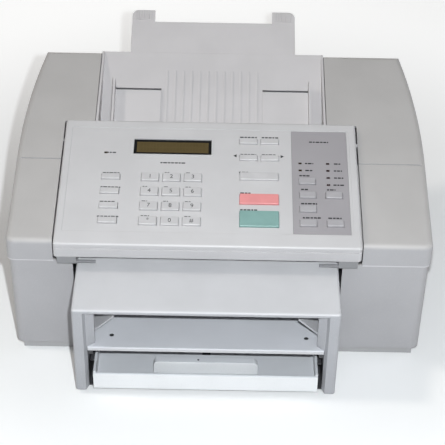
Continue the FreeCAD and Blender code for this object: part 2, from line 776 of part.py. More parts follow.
lights = [("power_light", "power_light_x", "power_light_v")]
for line in range(2):
    lights.append((f"left_light_{line}", "settings_x - light_inset", f"light_top_v - {line}*light_pitch"))
for line in range(4):
    lights.append((f"right_light_{line}", "right_light_x", f"light_top_v - {line}*light_pitch"))
light_holes = []
pipes = []
for name, x, v in lights:
    light_holes.append(block(f"{name}_hole", about(x, "light_width + 2*light_gap"),
                             about(v, "light_depth + 2*light_gap"), ("-20", "9")))
    pipes.append(block(f"{name}_pipe", about(x, "light_width"), about(v, "light_depth"),
                       ("-board_drop", "-inset_depth + light_proud")))

POST_X = f"({PANEL_HALF} - board_margin - post_radius - post_edge)"
POST_FRONT, POST_REAR = "(board_margin + post_radius)", "(panel_length - board_margin - post_radius)"
post_places = [(f"-{POST_X}", POST_FRONT), (f"-{POST_X}", POST_REAR), (POST_X, POST_FRONT),
               (POST_X, POST_REAR), ("post_middle", POST_FRONT), ("post_middle", POST_REAR)]
posts = [rod(f"panel_post_{i}", "z", ("-board_drop", "-face_thickness + 1"), "post_radius", at)
         for i, at in enumerate(post_places)]
trunnions = [rod("left_trunnion", "x", (f"-({OPEN_SIDE} + case_wall)", f"-({PANEL_HALF} - panel_wall)"),
                 "hinge_radius", ("panel_length - hinge_inset", "-hinge_drop")),
             rod("right_trunnion", "x", (f"{PANEL_HALF} - panel_wall", f"{OPEN_SIDE} + case_wall"),
                 "hinge_radius", ("panel_length - hinge_inset", "-hinge_drop"))]
frame_shell = cut("frame_shell", frame_round, frame_room, frame_inset, lip_groove)
frame_whole = fuse("frame_whole", frame_shell, bezel, *posts, *trunnions)
TONGUE_X = f"({PANEL_HALF} - latch_tongue_inset)"
LATCH_TOP = "-(panel_depth + latch_gap)"
LIP_FOOT = "(-panel_depth*tan(deck_angle))"
LATCH_FRONT = f"({LIP_FOOT} + latch_travel + latch_setback)"
tongue_slots = []
for i, sign in enumerate(("-", "")):
    tongue_slots.append(block(f"tongue_slot_{i}",
                              about(f"{sign}{TONGUE_X}", "latch_tongue_width + 2*latch_gap"),
                              (f"{LATCH_FRONT} - latch_travel - latch_gap", "panel_wall + 1"),
                              ("-panel_depth - 1", f"{LATCH_TOP} + latch_tongue_height + latch_gap")))
node("panel_frame", place_on_panel(cut("panel_frame", frame_whole, lcd_hole, plate_pocket, *key_holes,
                                       *light_holes, *tongue_slots)))

plate_block = block("plate_block", about("settings_x", "settings_width"),
                    about("settings_v", "settings_depth"), (f"{PLATE_TOP} - settings_thickness", PLATE_TOP))
settings_holes = [hole for key, hole in zip(keys, key_holes) if key[0].startswith("settings")]
node("settings_plate",
     place_on_panel(cut("settings_plate", plate_block, *settings_holes, *light_holes[1:])))
lcd_block = block("lcd_block", about("lcd_x", "lcd_width"), about("lcd_v", "lcd_depth"),
                  ("-board_drop", "-inset_depth - lcd_sink"))
node("lcd_display", place_on_panel(group("lcd_display", lcd_block)))
node("indicator_lights", place_on_panel(group("indicator_lights", *pipes)))
BOARD_LOW = "-(board_drop + board_thickness)"
panel_board = block("panel_board_block", both(f"{PANEL_HALF} - board_margin"),
                    ("board_margin", "panel_length - board_margin"), (BOARD_LOW, "-board_drop"))
node("panel_board", place_on_panel(group("panel_board", panel_board)))
BACK_TOP = "-(panel_depth - back_thickness)"
back_plate = block("back_plate", both(f"{PANEL_HALF} - panel_wall - back_gap"),
                   ("panel_wall + back_gap + back_front_gap", "panel_length - panel_wall - back_gap"),
                   ("-panel_depth", BACK_TOP))
back_posts = [rod(f"back_post_{i}", "z", (f"{BACK_TOP} - 1", BOARD_LOW), "post_radius", at) for i,
              at in enumerate(post_places)]
node("panel_back_cover", place_on_panel(fuse("panel_back_cover", back_plate, *back_posts)))

for name, x, v, width, depth in keys:
    top = "-inset_depth + key_height"
    flange_top = "-(face_thickness + key_rest_gap)"
    flange_low = "-(face_thickness + key_rest_gap + key_flange)"
    foot_low = "-(board_drop - key_travel - key_stop_gap)"
    cap = block(f"{name}_cap", about(x, width), about(v, depth), (f"{flange_top} - 0.5", top))
    cap_round = rounded(f"{name}_round", cap, "key_round",
                        lambda p, e, c=cap: p.z > c.Shape.BoundBox.Center.z - 0.01)
    flange = block(f"{name}_flange", about(x, f"{width} + 2*(key_gap + key_flange_lap)"),
                   about(v, f"{depth} + 2*(key_gap + key_flange_lap)"), (flange_low, flange_top))
    foot = block(f"{name}_foot", about(x, "key_foot"), about(v, "key_foot"),
                 (foot_low, f"{flange_low} + 0.5"))
    node(name, place_on_panel(fuse(name, cap_round, flange, foot)))

LATCH_LOW = f"({LATCH_TOP} - latch_thickness)"
latch_parts = [block("latch_bar_block", both("latch_width/2"), (LATCH_FRONT, f"{LATCH_FRONT} + latch_bar"),
                     (LATCH_LOW, LATCH_TOP))]
for i, sign in enumerate((-1, 1)):
    tab_middle = f"{sign}*({PANEL_HALF} - latch_tab_inset - latch_tab_width/2)"
    latch_parts.append(block(f"latch_tab_{i}", about(tab_middle, "latch_tab_width"),
                             (f"{LIP_FOOT} + latch_tab_setback", f"{LATCH_FRONT} + latch_thickness"),
                             (f"{LATCH_TOP} - latch_tab_drop", LATCH_TOP)))
    arm_end = f"({PANEL_HALF} - latch_tab_inset - latch_tab_width)"
    latch_parts.append(block(f"latch_arm_{i}", sided(sign, f"{arm_end} - latch_arm_length",
                                                     f"{arm_end} + 1"),
                             (f"{LIP_FOOT} + latch_tab_setback",
                              f"{LIP_FOOT} + latch_tab_setback + latch_thickness"),
                             (f"{LATCH_TOP} - latch_arm_drop - latch_arm_height",
                              f"{LATCH_TOP} - latch_arm_drop")))
    latch_parts.append(block(f"latch_tongue_{i}", about(f"{sign}*{TONGUE_X}", "latch_tongue_width"),
                             (LATCH_FRONT, f"{LATCH_FRONT} + latch_thickness"),
                             (f"{LATCH_TOP} - 1", f"{LATCH_TOP} + latch_tongue_height")))
node("panel_latch", place_on_panel(fuse("panel_latch", *latch_parts)))

# Document tray, in its own frame: x from the paper's centre line, s up the slope, n out of the floor.
FEED_HALF = "(feed_width/2)"
WALL_REAR = "feed_drop*cos(feed_angle)"
tray_floor_block = block("tray_floor_block", both(FEED_HALF), ("0", "feed_length"), ("-feed_floor", "0"))
feed_walls = []
for side, sign in (("left", -1), ("right", 1)):
    edges = sided(sign, f"{FEED_HALF} - feed_wall", FEED_HALF)
    feed_walls.append(prism(f"{side}_feed_wall", [("0", "-feed_skirt"), ("feed_length - 1", "-feed_skirt"),
                                                  ("feed_length - 1", f"{WALL_REAR} - 0.5"),
                                                  in_feed(on_panel(f"{OPEN_END} + 1",
                                                                   "-panel_proud - 0.5")),
                                                  in_feed(on_panel(f"{OPEN_END} + 1", "-2*panel_depth"))],
                            *edges))
rib_body = doc.addObject("PartDesign::Body", "rib_body")
rib_first = "-(rib_count - 1)*rib_pitch/2"
rib_pad = pad(rib_body, "XY_Plane", [(f"{rib_first} - rib_width/2", "rib_start"),
                                     (f"{rib_first} + rib_width/2", "rib_start"),
                                     (f"{rib_first} + rib_width/2", "rib_start + rib_length"),
                                     (f"{rib_first} - rib_width/2", "rib_start + rib_length")], "-1",
              "rib_height")
doc.recompute()
rib_row = rib_body.newObject("PartDesign::LinearPattern", "rib_row")
rib_row.Originals = [rib_pad]
rib_row.Direction = (plane_of(rib_body, "X_Axis"), [""])
bind(rib_row, "Length", "(rib_count - 1)*rib_pitch")
rib_row.Occurrences = int(number("rib_count"))
rib_body.Tip = rib_row
CHANNEL_TOP = "-feed_floor"
PLATE_LOW = "-(feed_floor + 2*extension_gap + extension_thickness)"
rails = []
for side, sign in (("left", -1), ("right", 1)):
    inner, outer = "(extension_width/2 + extension_gap)", "(extension_width/2 + extension_gap + rail_width)"
    lip_in = "(extension_width/2 - rail_lip)"
    rail = sided(sign, inner, outer)
    ledge = sided(sign, lip_in, outer)
    along = ("feed_length - extension_hidden", "feed_length - 3")
    rails.append(block(f"{side}_rail", rail, along, (f"{PLATE_LOW} - rail_lip_thickness",
                                                     f"{CHANNEL_TOP} + 0.5")))
    rails.append(block(f"{side}_rail_lip", ledge, along, (f"{PLATE_LOW} - rail_lip_thickness", PLATE_LOW)))
RACK_TOP = "-(feed_floor + rack_gap)"
RACK_LOW = "-(feed_floor + rack_gap + pinion_thickness)"
pinion_pin = rod("pinion_pin", "z", (f"{RACK_LOW} - 1", "-feed_floor + 0.5"), "pinion_pin_radius",
                 ("0", "pinion_s"))
RACK_NEAR = f"({PITCH_RADIUS} + tooth_module)"
TONGUE_OUT = "(guide_spread/2 - guide_tongue_inset)"
TONGUE_IN = "(guide_spread/2 - guide_tongue_inset - guide_tongue)"


def tongue_span(sign):
    low, high = f"pinion_s + {RACK_NEAR}", f"pinion_s + {RACK_NEAR} + rack_back"
    if sign < 0:
        return low, high
    return f"pinion_s - {RACK_NEAR} - rack_back", f"pinion_s - {RACK_NEAR}"


guide_slots = []
for side, sign in (("left", -1), ("right", 1)):
    low, high = tongue_span(sign)
    near, far = f"{TONGUE_IN} - guide_travel - slot_gap", f"{TONGUE_OUT} + slot_gap"
    across = sided(sign, near, far)
    guide_slots.append(block(f"{side}_guide_slot", across, (f"{low} - slot_gap", f"{high} + slot_gap"),
                             ("-feed_floor - 1", "rib_height + 1")))
feed_whole = fuse("feed_whole", tray_floor_block, *feed_walls, rib_body, *rails, pinion_pin)
node("document_tray", place_on_feed(cut("document_tray", feed_whole, *guide_slots)))

# Document guides: an upright wall, a flap on the ribs with a ramp at its end, and a rack under the floor.
teeth = int(number("pinion_teeth"))
radius = teeth/2
base_radius = radius*math.cos(math.radians(20))
half_tooth = math.pi/4


def half_angle(at):
    """Half the angle of an involute tooth at a radius, both in modules; backlash is taken off apart."""
    if at < base_radius:
        at = base_radius
    press = math.acos(base_radius/at)
    start = math.tan(math.radians(20)) - math.radians(20)
    return half_tooth/radius + start - (math.tan(press) - press)


GUIDE_LOW = "(rib_height + guide_gap)"
for side, sign in (("left", -1), ("right", 1)):
    wall_in, wall_out = "(guide_spread/2)", "(guide_spread/2 + guide_wall)"
    flap_in = "(guide_spread/2 - guide_flap)"
    low, high = tongue_span(sign)
    wall = block(f"{side}_guide_wall", sided(sign, wall_in, wall_out),
                 ("guide_start", "guide_start + guide_length"), (GUIDE_LOW, f"{GUIDE_LOW} + guide_height"))
    flap = block(f"{side}_guide_flap", sided(sign, flap_in, f"{wall_in} + 1"),
                 ("guide_flap_start", "guide_flap_start + guide_flap_length"),
                 (GUIDE_LOW, f"{GUIDE_LOW} + guide_flap_thickness"))
    flap_end = "(guide_flap_start + guide_flap_length)"
    ramp = prism(f"{side}_guide_ramp",
                 [(f"{flap_end} - 1", GUIDE_LOW), (f"{flap_end} + guide_ramp_length", GUIDE_LOW),
                  (f"{flap_end} + guide_ramp_length", f"{GUIDE_LOW} + guide_ramp_edge"),
                  (f"{flap_end} - 1", f"{GUIDE_LOW} + guide_ramp_height")],
                 *sided(sign, flap_in, f"{wall_in} + 1"))
    tongue = block(f"{side}_guide_tongue", sided(sign, TONGUE_IN, TONGUE_OUT), (low, high),
                   (RACK_LOW, f"{GUIDE_LOW} + 0.5"))
    back = block(f"{side}_rack_back", sided(sign, "-rack_tail", f"{TONGUE_OUT} - 1"), (low, high),
                 (RACK_LOW, RACK_TOP))
    rack = doc.addObject("PartDesign::Body", f"{side}_rack")
    face = f"pinion_s + {PITCH_RADIUS}" if sign < 0 else f"pinion_s - {PITCH_RADIUS}"
    out = 1 if sign < 0 else -1
    flank = math.tan(math.radians(20))
    phase = f"{sign}*0.5*3.14159265*tooth_module"
    root_half = f"(0.78539816*tooth_module - tooth_backlash/2 + 1.3*tooth_module*{flank:.6f})"
    tip_half = f"(0.78539816*tooth_module - tooth_backlash/2 - 0.65*tooth_module*{flank:.6f})"
    root_s, tip_s = f"{face} + {out}*1.3*tooth_module", f"{face} - {out}*0.65*tooth_module"
    tooth = pad(rack, "XY_Plane", [(f"{phase} - {root_half}", root_s), (f"{phase} + {root_half}", root_s),
                                   (f"{phase} + {tip_half}", tip_s), (f"{phase} - {tip_half}", tip_s)],
                RACK_LOW, RACK_TOP)
    doc.recompute()
    row = rack.newObject("PartDesign::LinearPattern", f"{side}_rack_row")
    row.Originals = [tooth]
    row.Direction = (plane_of(rack, "X_Axis"), [""])
    row.Reversed = sign < 0
    count = int(number("guide_travel")/(math.pi*number("tooth_module"))) + 2
    bind(row, "Length", f"{count - 1}*3.14159265*tooth_module")
    row.Occurrences = count
    rack.Tip = row
    node(f"{side}_document_guide", place_on_feed(fuse(f"{side}_document_guide", wall, flap, ramp, tongue,
                                                      back, rack)))

pinion = doc.addObject("PartDesign::Body", "guide_pinion")
hub = pinion.newObject("Sketcher::SketchObject", "pinion_hub_outline")
hub.AttachmentSupport = [(plane_of(pinion, "XY_Plane"), "")]
hub.MapMode = "FlatFace"
bind(hub, "AttachmentOffset.Base.z", RACK_LOW)
hub.addGeometry([Part.Circle(Vector(), Vector(0, 0, 1), 7), Part.Circle(Vector(), Vector(0, 0, 1), 2)])
for i, text in enumerate((f"{PITCH_RADIUS} - 1.1*tooth_module", "pinion_pin_radius + running_fit")):
    hub.addConstraint(Sketcher.Constraint("Coincident", i, 3, -1, 1))
    index = hub.addConstraint(Sketcher.Constraint("Radius", i, 5.0 - i))
    bind(hub, f"Constraints[{index}]", text)
hub_pad = pinion.newObject("PartDesign::Pad", "pinion_hub")
hub_pad.Profile = hub
bind(hub_pad, "Length", "pinion_thickness")
pinion.Tip = hub_pad
doc.recompute()
tooth_points = []
for at in (radius - 1.3, radius - 0.3, radius, radius + 0.4, radius + 0.75):
    tooth_points.append((at, half_angle(at)))
tooth_points = [(at, -angle) for at,
                angle in tooth_points] + [(at, angle) for at, angle in reversed(tooth_points)]
tooth_texts = []
for at, angle in tooth_points:
    shrink = "-" if angle > 0 else "+"
    tooth_texts.append((f"{at*math.cos(angle):.6f}*tooth_module",
                        f"{at*math.sin(angle):.6f}*tooth_module {shrink} tooth_backlash/2"))
first_tooth = pad(pinion, "XY_Plane", tooth_texts, RACK_LOW, RACK_TOP)
doc.recompute()
ring = pinion.newObject("PartDesign::PolarPattern", "pinion_ring")
ring.Originals = [first_tooth]
ring.Axis = (plane_of(pinion, "Z_Axis"), [""])
ring.Angle = 360
ring.Occurrences = teeth
pinion.Tip = ring
node("guide_pinion", pinion)
pinion.Placement = Placement(Vector(), Rotation(Vector(1, 0, 0), 10))
bind(pinion, "Placement.Rotation.Angle", "feed_angle")
bind(pinion, "Placement.Base.x", "paper_axis")
bind(pinion, "Placement.Base.y", f"{FEED_Y} + pinion_s*cos(feed_angle)")
bind(pinion, "Placement.Base.z", f"{FEED_Z} + pinion_s*sin(feed_angle)")

# Tray extension: a flat plate that slides under the tray's floor and ends in two prongs.
EXT_TOP = "-(feed_floor + extension_gap)"
EXT_LOW = "-(feed_floor + extension_gap + extension_thickness)"
EXT_END = f"(feed_length + (extension_reach + {EXT_LOW}*sin(feed_angle))/cos(feed_angle))"
ext_plate = block("ext_plate", both("extension_width/2"), ("feed_length - extension_hidden + 2", EXT_END),
                  (EXT_LOW, EXT_TOP))
ext_round = rounded("ext_round", ext_plate, "extension_round",
                    lambda p, e: p.y > number("feed_length") and abs(e.tangentAt(e.FirstParameter).z) > 0.9)
ext_gap = block("ext_gap", both("extension_width/2 - prong_width"),
                (f"{EXT_END} - prong_length", f"{EXT_END} + 5"), (f"{EXT_LOW} - 1", f"{EXT_TOP} + 1"))
node("tray_extension", place_on_feed(cut("tray_extension", ext_round, ext_gap)))

# Paper tray hood: a roof on two box walls with a floor plate between them, ledges for the output tray,
# and cheeks and lugs for the wings.
ROOF_BACK = "(hood_lip_height + (tray_reach + hood_back)*tan(hood_angle))"
hood_prism = prism("hood_prism", [(HOOD_FRONT, "leg_height"), (HOOD_BACK, "leg_height"),
                                  (HOOD_BACK, ROOF_BACK), (HOOD_FRONT, "hood_lip_height")],
                   f"paper_axis - {HOOD_HALF}", f"paper_axis + {HOOD_HALF}")
hood_middle = number("hood_lip_height")/2
hood_front = front_edge - number("tray_reach")


def hood_outside(p, e):
    along_x = abs(e.tangentAt(e.FirstParameter).x) > 0.9
    upright = abs(e.tangentAt(e.FirstParameter).z) > 0.9
    if p.y < hood_front + 0.01:
        return upright or (along_x and p.z > hood_middle)
    return not upright and not along_x and p.z > hood_middle


hood_round = rounded("hood_rounded", hood_prism, "hood_round", hood_outside)
hood_bay = prism("hood_bay", [(f"{HOOD_FRONT} - 5", "0"), (f"{HOOD_BACK} + 5", "0"),
                              (f"{HOOD_BACK} + 5", f"{ROOF_BACK} - hood_thickness + 5*tan(hood_angle)"),
                              (f"{HOOD_FRONT} - 5",
                               "hood_lip_height - hood_thickness - 5*tan(hood_angle)")],
                 f"paper_axis - {HOOD_INNER}", f"paper_axis + {HOOD_INNER}")
hood_hollows = []
for side, sign in (("left", "-"), ("right", "+")):
    middle = f"paper_axis {sign} ({HOOD_HALF} - hood_wall/2)"
    low, high = about(middle, "hood_wall - 2*hood_skin")
    hood_hollows.append(prism(f"{side}_hood_hollow",
                              [(f"{HOOD_FRONT} + hood_skin", "floor_gap + hood_skin"),
                               (f"{HOOD_BACK} + 5", "floor_gap + hood_skin"),
                               (f"{HOOD_BACK} + 5", f"{ROOF_BACK} - hood_thickness"),
                               (f"{HOOD_FRONT} + hood_skin", "hood_lip_height - hood_thickness")], low,
                              high))
hood_step = block("hood_step", about("paper_axis", "hood_width + 10"),
                  (behind("pan_inset - 0.5"), f"{HOOD_BACK} + 5"), ("0", "floor_gap"))
leg_chamfers = []
for side, sign in (("left", 1), ("right", -1)):
    inner = f"(paper_axis - {sign}*{HOOD_INNER})"
    leg_chamfers.append(post(f"{side}_leg_chamfer", [(f"{inner} + {sign}*2", f"{HOOD_FRONT} - 5"),
                                                     (f"{inner} - {sign}*leg_chamfer_width",
                                                      f"{HOOD_FRONT} - 5"),
                                                     (f"{inner} - {sign}*leg_chamfer_width", HOOD_FRONT),
                                                     (inner, f"{HOOD_FRONT} + leg_chamfer_depth"),
                                                     (f"{inner} + {sign}*2",
                                                      f"{HOOD_FRONT} + leg_chamfer_depth")], "0",
                             "hood_lip_height - hood_thickness"))
hood_shell = cut("hood_shell", hood_round, hood_bay, *hood_hollows, hood_step, *leg_chamfers)
WING_FRONT = f"({HOOD_FRONT} + wing_setback + wing_lug + wing_gap)"
WING_BACK = f"({WING_FRONT} + wing_depth)"
LUG_HALF = "(wing_pin_radius + wing_lug_wall)"
bay_floor = block("bay_floor", about("paper_axis", f"2*{HOOD_INNER} + 2*hood_skin"),
                  (f"{HOOD_FRONT} + bay_floor_setback", behind("pan_inset - 0.5")),
                  ("leg_height", "leg_height + bay_floor_thickness"))
hood_added = [bay_floor]
wing_bores = []
for side, sign in (("left", 1), ("right", -1)):
    inner = f"paper_axis - {sign}*{HOOD_INNER}"
    axis_x = f"(paper_axis - {sign}*({HOOD_INNER} - wing_pin_offset))"
    ledge = (f"{inner} - 1",
             f"{inner} + deck_ledge") if sign > 0 else (f"{inner} - deck_ledge", f"{inner} + 1")
    lug_reach = f"(wing_pin_offset + {LUG_HALF})"
    lug = (f"{inner} - 1",
           f"{inner} + {lug_reach}") if sign > 0 else (f"{inner} - {lug_reach}", f"{inner} + 1")
    hood_added.append(block(f"{side}_deck_ledge", ledge, (f"{HOOD_FRONT} + deck_setback + 2", HOOD_BACK),
                            ("deck_height - 2*deck_thickness", "deck_height - deck_thickness")))
    hood_added.append(block(f"{side}_lug", lug,
                            (f"{WING_BACK} + wing_gap", f"{WING_BACK} + wing_gap + wing_lug"),
                            (f"wing_height - {LUG_HALF}", f"wing_height + {LUG_HALF}")))
    hood_added.append(post(f"{side}_cheek", [(f"{inner} - {sign}*1", f"{HOOD_FRONT} + cheek_setback"),
                                             (inner, f"{HOOD_FRONT} + cheek_setback"),
                                             (f"{inner} + {sign}*{lug_reach}",
                                              f"{HOOD_FRONT} + wing_setback"),
                                             (f"{inner} + {sign}*{lug_reach}", f"{WING_FRONT} - wing_gap"),
                                             (f"{inner} - {sign}*1", f"{WING_FRONT} - wing_gap")],
                           "deck_height + deck_gap", "hood_lip_height"))
    wing_bores.append(rod(f"{side}_wing_bore", "y", (f"{WING_FRONT} - wing_gap - wing_lug - 1",
                                                     f"{WING_BACK} + wing_gap + wing_lug + 1"),
                          "wing_pin_radius + running_fit", (axis_x, "wing_height")))
node("tray_hood", cut("tray_hood", fuse("hood_whole", hood_shell, *hood_added), *wing_bores))

# Output wings: a flap on a pin that turns in the hood's lugs.
for side, sign in (("left", 1), ("right", -1)):
    pin = rod(f"{side}_wing_pin", "y", ("-wing_gap - wing_lug", "wing_depth + wing_gap + wing_lug"),
              "wing_pin_radius", ("0", "0"))
    reach = ("0", "wing_length") if sign > 0 else ("-wing_length", "0")
    leaf = block(f"{side}_wing_leaf", reach, ("0", "wing_depth"), both("wing_thickness/2"))
    wing = fuse(f"{side}_wing", pin, leaf)
    wing.Placement = Placement(Vector(), Rotation(Vector(0, -sign, 0), 10))
    bind(wing, "Placement.Rotation.Angle", "wing_angle")
    bind(wing, "Placement.Base.x", f"paper_axis - {sign}*({HOOD_INNER} - wing_pin_offset)")
    bind(wing, "Placement.Base.y", WING_FRONT)
    bind(wing, "Placement.Base.z", "wing_height")
    node(f"{side}_wing", wing)

# Output tray: a flat deck on the hood's ledges.
out_deck = block("out_deck", about("paper_axis", f"2*({HOOD_INNER} - deck_gap)"),
                 (f"{HOOD_FRONT} + deck_setback", f"{HOOD_BACK} + deck_back"),
                 ("deck_height - deck_thickness", "deck_height"))
out_round = rounded("out_round", out_deck, "tray_lip_round", lambda p,
                    e: p.y < hood_front + number("deck_setback") + 0.01
                    and abs(e.tangentAt(e.FirstParameter).x) > 0.9)
deck_holes = [rod(f"deck_hole_{i}", "z", ("deck_height - 2*deck_thickness", "deck_height + 1"),
                  "deck_hole_radius", (f"paper_axis + deck_hole_shift {sign} deck_hole_spread/2",
                                       f"{HOOD_FRONT} + deck_setback + deck_hole_setback")) for i,
              sign in enumerate(("-", "+"))]
node("output_tray", cut("output_tray", out_round, *deck_holes))

# Input tray: a shallow pan that slides on the base, with a front lip.
TRAY_LOW = "(floor_gap + tray_clearance)"
TRAY_FRONT = f"({HOOD_FRONT} + tray_lip_thickness/2)"
TRAY_BACK = f"({HOOD_FRONT} + tray_length)"
lip_block = block("lip_block", about("paper_axis", "tray_width"),
                  (HOOD_FRONT, f"{HOOD_FRONT} + tray_lip_thickness"), ("tray_lip_bottom", "tray_lip_top"))
lip_round = rounded("lip_round", lip_block, "tray_lip_round", lambda p,
                    e: abs(e.tangentAt(e.FirstParameter).x) > 0.9)
tray_parts = [lip_round, block("paper_floor", about("paper_axis", "tray_width"), (TRAY_FRONT, TRAY_BACK),
                               (TRAY_LOW, f"{TRAY_LOW} + tray_floor"))]
for side, sign in (("left", -1), ("right", 1)):
    outer = f"paper_axis + {sign}*tray_width/2"
    wall = (outer, f"{outer} + tray_wall") if sign < 0 else (f"{outer} - tray_wall", outer)
    edge = f"paper_axis + {sign}*({HOOD_INNER} - tray_flange_gap)"
    flange = (edge, f"{outer} + 1") if sign < 0 else (f"{outer} - 1", edge)
    tray_parts.append(block(f"{side}_tray_wall", wall, (TRAY_FRONT, TRAY_BACK), (TRAY_LOW, "tray_rise")))
    tray_parts.append(block(f"{side}_tray_flange", flange, (f"{HOOD_FRONT} + tray_flange_start", HOOD_BACK),
                            ("tray_rise - tray_floor", "tray_rise")))
ADJUST_FRONT = f"({HOOD_FRONT} + tray_lip_thickness + adjuster_setback)"
ADJUST_LOW = f"({TRAY_LOW} + tray_floor + adjuster_gap)"
adjust_slot = block("adjust_slot", about("paper_axis", "adjuster_tongue + 2*adjuster_gap"),
                    (f"{ADJUST_FRONT} - adjuster_gap",
                     f"{ADJUST_FRONT} + adjuster_length + adjuster_gap + adjuster_travel"),
                    ("0", f"{TRAY_LOW} + tray_floor + 0.1"))
node("input_tray", cut("input_tray", fuse("tray_whole", *tray_parts), adjust_slot))

# Length adjuster: a plate with a raised bar, guided by a tongue in the tray floor.
adjust_plate = block("adjust_plate", about("paper_axis", "adjuster_width"),
                     (ADJUST_FRONT, f"{ADJUST_FRONT} + adjuster_length"),
                     (ADJUST_LOW, f"{ADJUST_LOW} + adjuster_thickness"))
adjust_bar = block("adjust_bar", about("paper_axis", "adjuster_width"),
                   (ADJUST_FRONT, f"{ADJUST_FRONT} + adjuster_bar"), (ADJUST_LOW, "adjuster_height"))
adjust_round = rounded("adjust_round", adjust_bar, "adjuster_round", lambda p,
                       e: abs(e.tangentAt(e.FirstParameter).y) > 0.9 and p.z > number("tray_rise"))
adjust_tongue = block("adjust_tongue", about("paper_axis", "adjuster_tongue"),
                      (ADJUST_FRONT, f"{ADJUST_FRONT} + adjuster_length"),
                      (f"{TRAY_LOW} + adjuster_gap", f"{ADJUST_LOW} + 0.5"))
node("length_adjuster", fuse("length_adjuster", adjust_plate, adjust_round, adjust_tongue))

# Engine: two side plates on the pan with a rear beam, and what runs between them.
FRAME_HALF = "(frame_spread/2)"
plate_outline = [(behind("frame_front"), "floor_gap"), (ahead("frame_rear"), "floor_gap"),
                 (ahead("frame_rear"), "frame_shoulder"), (ahead("frame_rear + frame_slope"), "frame_top"),
                 (behind("scan_front - 2"), "frame_top"), (behind("frame_front"), "frame_shoulder")]
ROD_AT = (behind("rod_distance"), "rod_height")
FEEDER_AT = (behind("feeder_distance"), "feeder_height")
PICKER_AT = (ahead("picker_distance"), "picker_height")
FRAME_SPAN = (f"paper_axis - {FRAME_HALF} - frame_plate - 5",
              f"paper_axis + {FRAME_HALF} + frame_plate + 5")
frame_whole_parts = [prism("left_plate", plate_outline, f"paper_axis - {FRAME_HALF} - frame_plate",
                           f"paper_axis - {FRAME_HALF}"),
                     prism("right_plate", plate_outline, f"paper_axis + {FRAME_HALF}",
                           f"paper_axis + {FRAME_HALF} + frame_plate"),
                     block("frame_beam", about("paper_axis", f"2*{FRAME_HALF} + 1"),
                           (ahead("frame_rear + frame_plate"), ahead("frame_rear")),
                           ("floor_gap", "floor_gap + frame_beam_height"))]
frame_bores = [rod("rod_bore", "x", FRAME_SPAN, "rod_radius", ROD_AT),
               rod("feeder_bore", "x", FRAME_SPAN, "feeder_shaft_radius + running_fit", FEEDER_AT),
               rod("picker_bore", "x", FRAME_SPAN, "picker_shaft_radius + running_fit", PICKER_AT)]
node("engine_frame", cut("engine_frame", fuse("engine_whole", *frame_whole_parts), *frame_bores))
node("carriage_rod", rod("carriage_rod", "x", (f"paper_axis - {FRAME_HALF} - frame_plate",
                                               f"paper_axis + {FRAME_HALF} + frame_plate"), "rod_radius",
                         ROD_AT))

CAR_X = f"(paper_axis + {FRAME_HALF} - carriage_park)"
car_body = block("car_body", about(CAR_X, "carriage_width"),
                 (behind("carriage_front"), behind("carriage_back")), ("carriage_bottom", "carriage_top"))
CAR_HALF = "(carriage_width/2)"
PEN_FRONT = f"({behind('carriage_front + carriage_wall')})"
PEN_BACK = f"({PEN_FRONT} + cartridge_depth)"
pen_rooms = []
pens = []
for i, (low, high) in enumerate([(f"{CAR_X} - {CAR_HALF} + carriage_wall", f"{CAR_X} - carriage_wall/2"),
                                 (f"{CAR_X} + carriage_wall/2", f"{CAR_X} + {CAR_HALF} - carriage_wall")]):
    pen_rooms.append(block(f"pen_room_{i}", (low, high), (PEN_FRONT, PEN_BACK),
                           ("carriage_bottom + carriage_wall", "carriage_top + 5")))
    nose = (f"{low} + nozzle_inset", f"{high} - nozzle_inset")
    nose_y = (f"{PEN_FRONT} + nozzle_inset", f"{PEN_BACK} - nozzle_inset")
    pen_rooms.append(block(f"pen_mouth_{i}", (f"{nose[0]} - cartridge_gap", f"{nose[1]} + cartridge_gap"),
                           (f"{nose_y[0]} - cartridge_gap", f"{nose_y[1]} + cartridge_gap"),
                           ("carriage_bottom - 5", "carriage_top")))
    pen_tank = block(f"pen_tank_{i}", (f"{low} + cartridge_gap", f"{high} - cartridge_gap"),
                     (f"{PEN_FRONT} + cartridge_gap", f"{PEN_BACK} - cartridge_gap"),
                     ("carriage_bottom + carriage_wall", "carriage_top + cartridge_proud"))
    pen_nose = block(f"pen_nose_{i}", nose, nose_y, ("carriage_bottom + carriage_wall - nozzle_drop",
                                                     "carriage_bottom + carriage_wall + 1"))
    pens.append(fuse(f"pen_{i}", pen_tank, pen_nose))
rod_room = rod("rod_room", "x", FRAME_SPAN, "rod_radius + running_fit", ROD_AT)
node("carriage", cut("carriage", car_body, *pen_rooms, rod_room))
node("ink_cartridges", group("ink_cartridges", *pens))


def roller(name, shaft, wide, width, spread, count):
    """Half outline of a shaft with evenly spread tyres and a gear outside the right plate."""
    end = f"({FRAME_HALF} + frame_plate + gear_gap)"
    points = [(f"-({FRAME_HALF} + frame_plate)", "0"), (f"-({FRAME_HALF} + frame_plate)", shaft)]
    for i in range(count):
        middle = f"({i - (count - 1)/2}*{spread})"
        points += [(f"{middle} - {width}/2", shaft), (f"{middle} - {width}/2", wide),
                   (f"{middle} + {width}/2", wide), (f"{middle} + {width}/2", shaft)]
    points += [(end, shaft), (end, "gear_radius"), (f"{end} + gear_width", "gear_radius"),
               (f"{end} + gear_width", "0")]
    return turned(name, points)


for name, at, body in (("document_feed_roller", FEEDER_AT,
                        roller("document_feed_roller", "feeder_shaft_radius", "feeder_radius",
                               "feeder_width", "(feeder_spread/2)", 3)),
                       ("paper_feed_roller", PICKER_AT,
                        roller("paper_feed_roller", "picker_shaft_radius", "picker_radius", "picker_width",
                               "picker_spread", 2))):
    bind(body, "Placement.Base.x", "paper_axis")
    bind(body, "Placement.Base.y", at[0])
    bind(body, "Placement.Base.z", at[1])
    node(name, body)

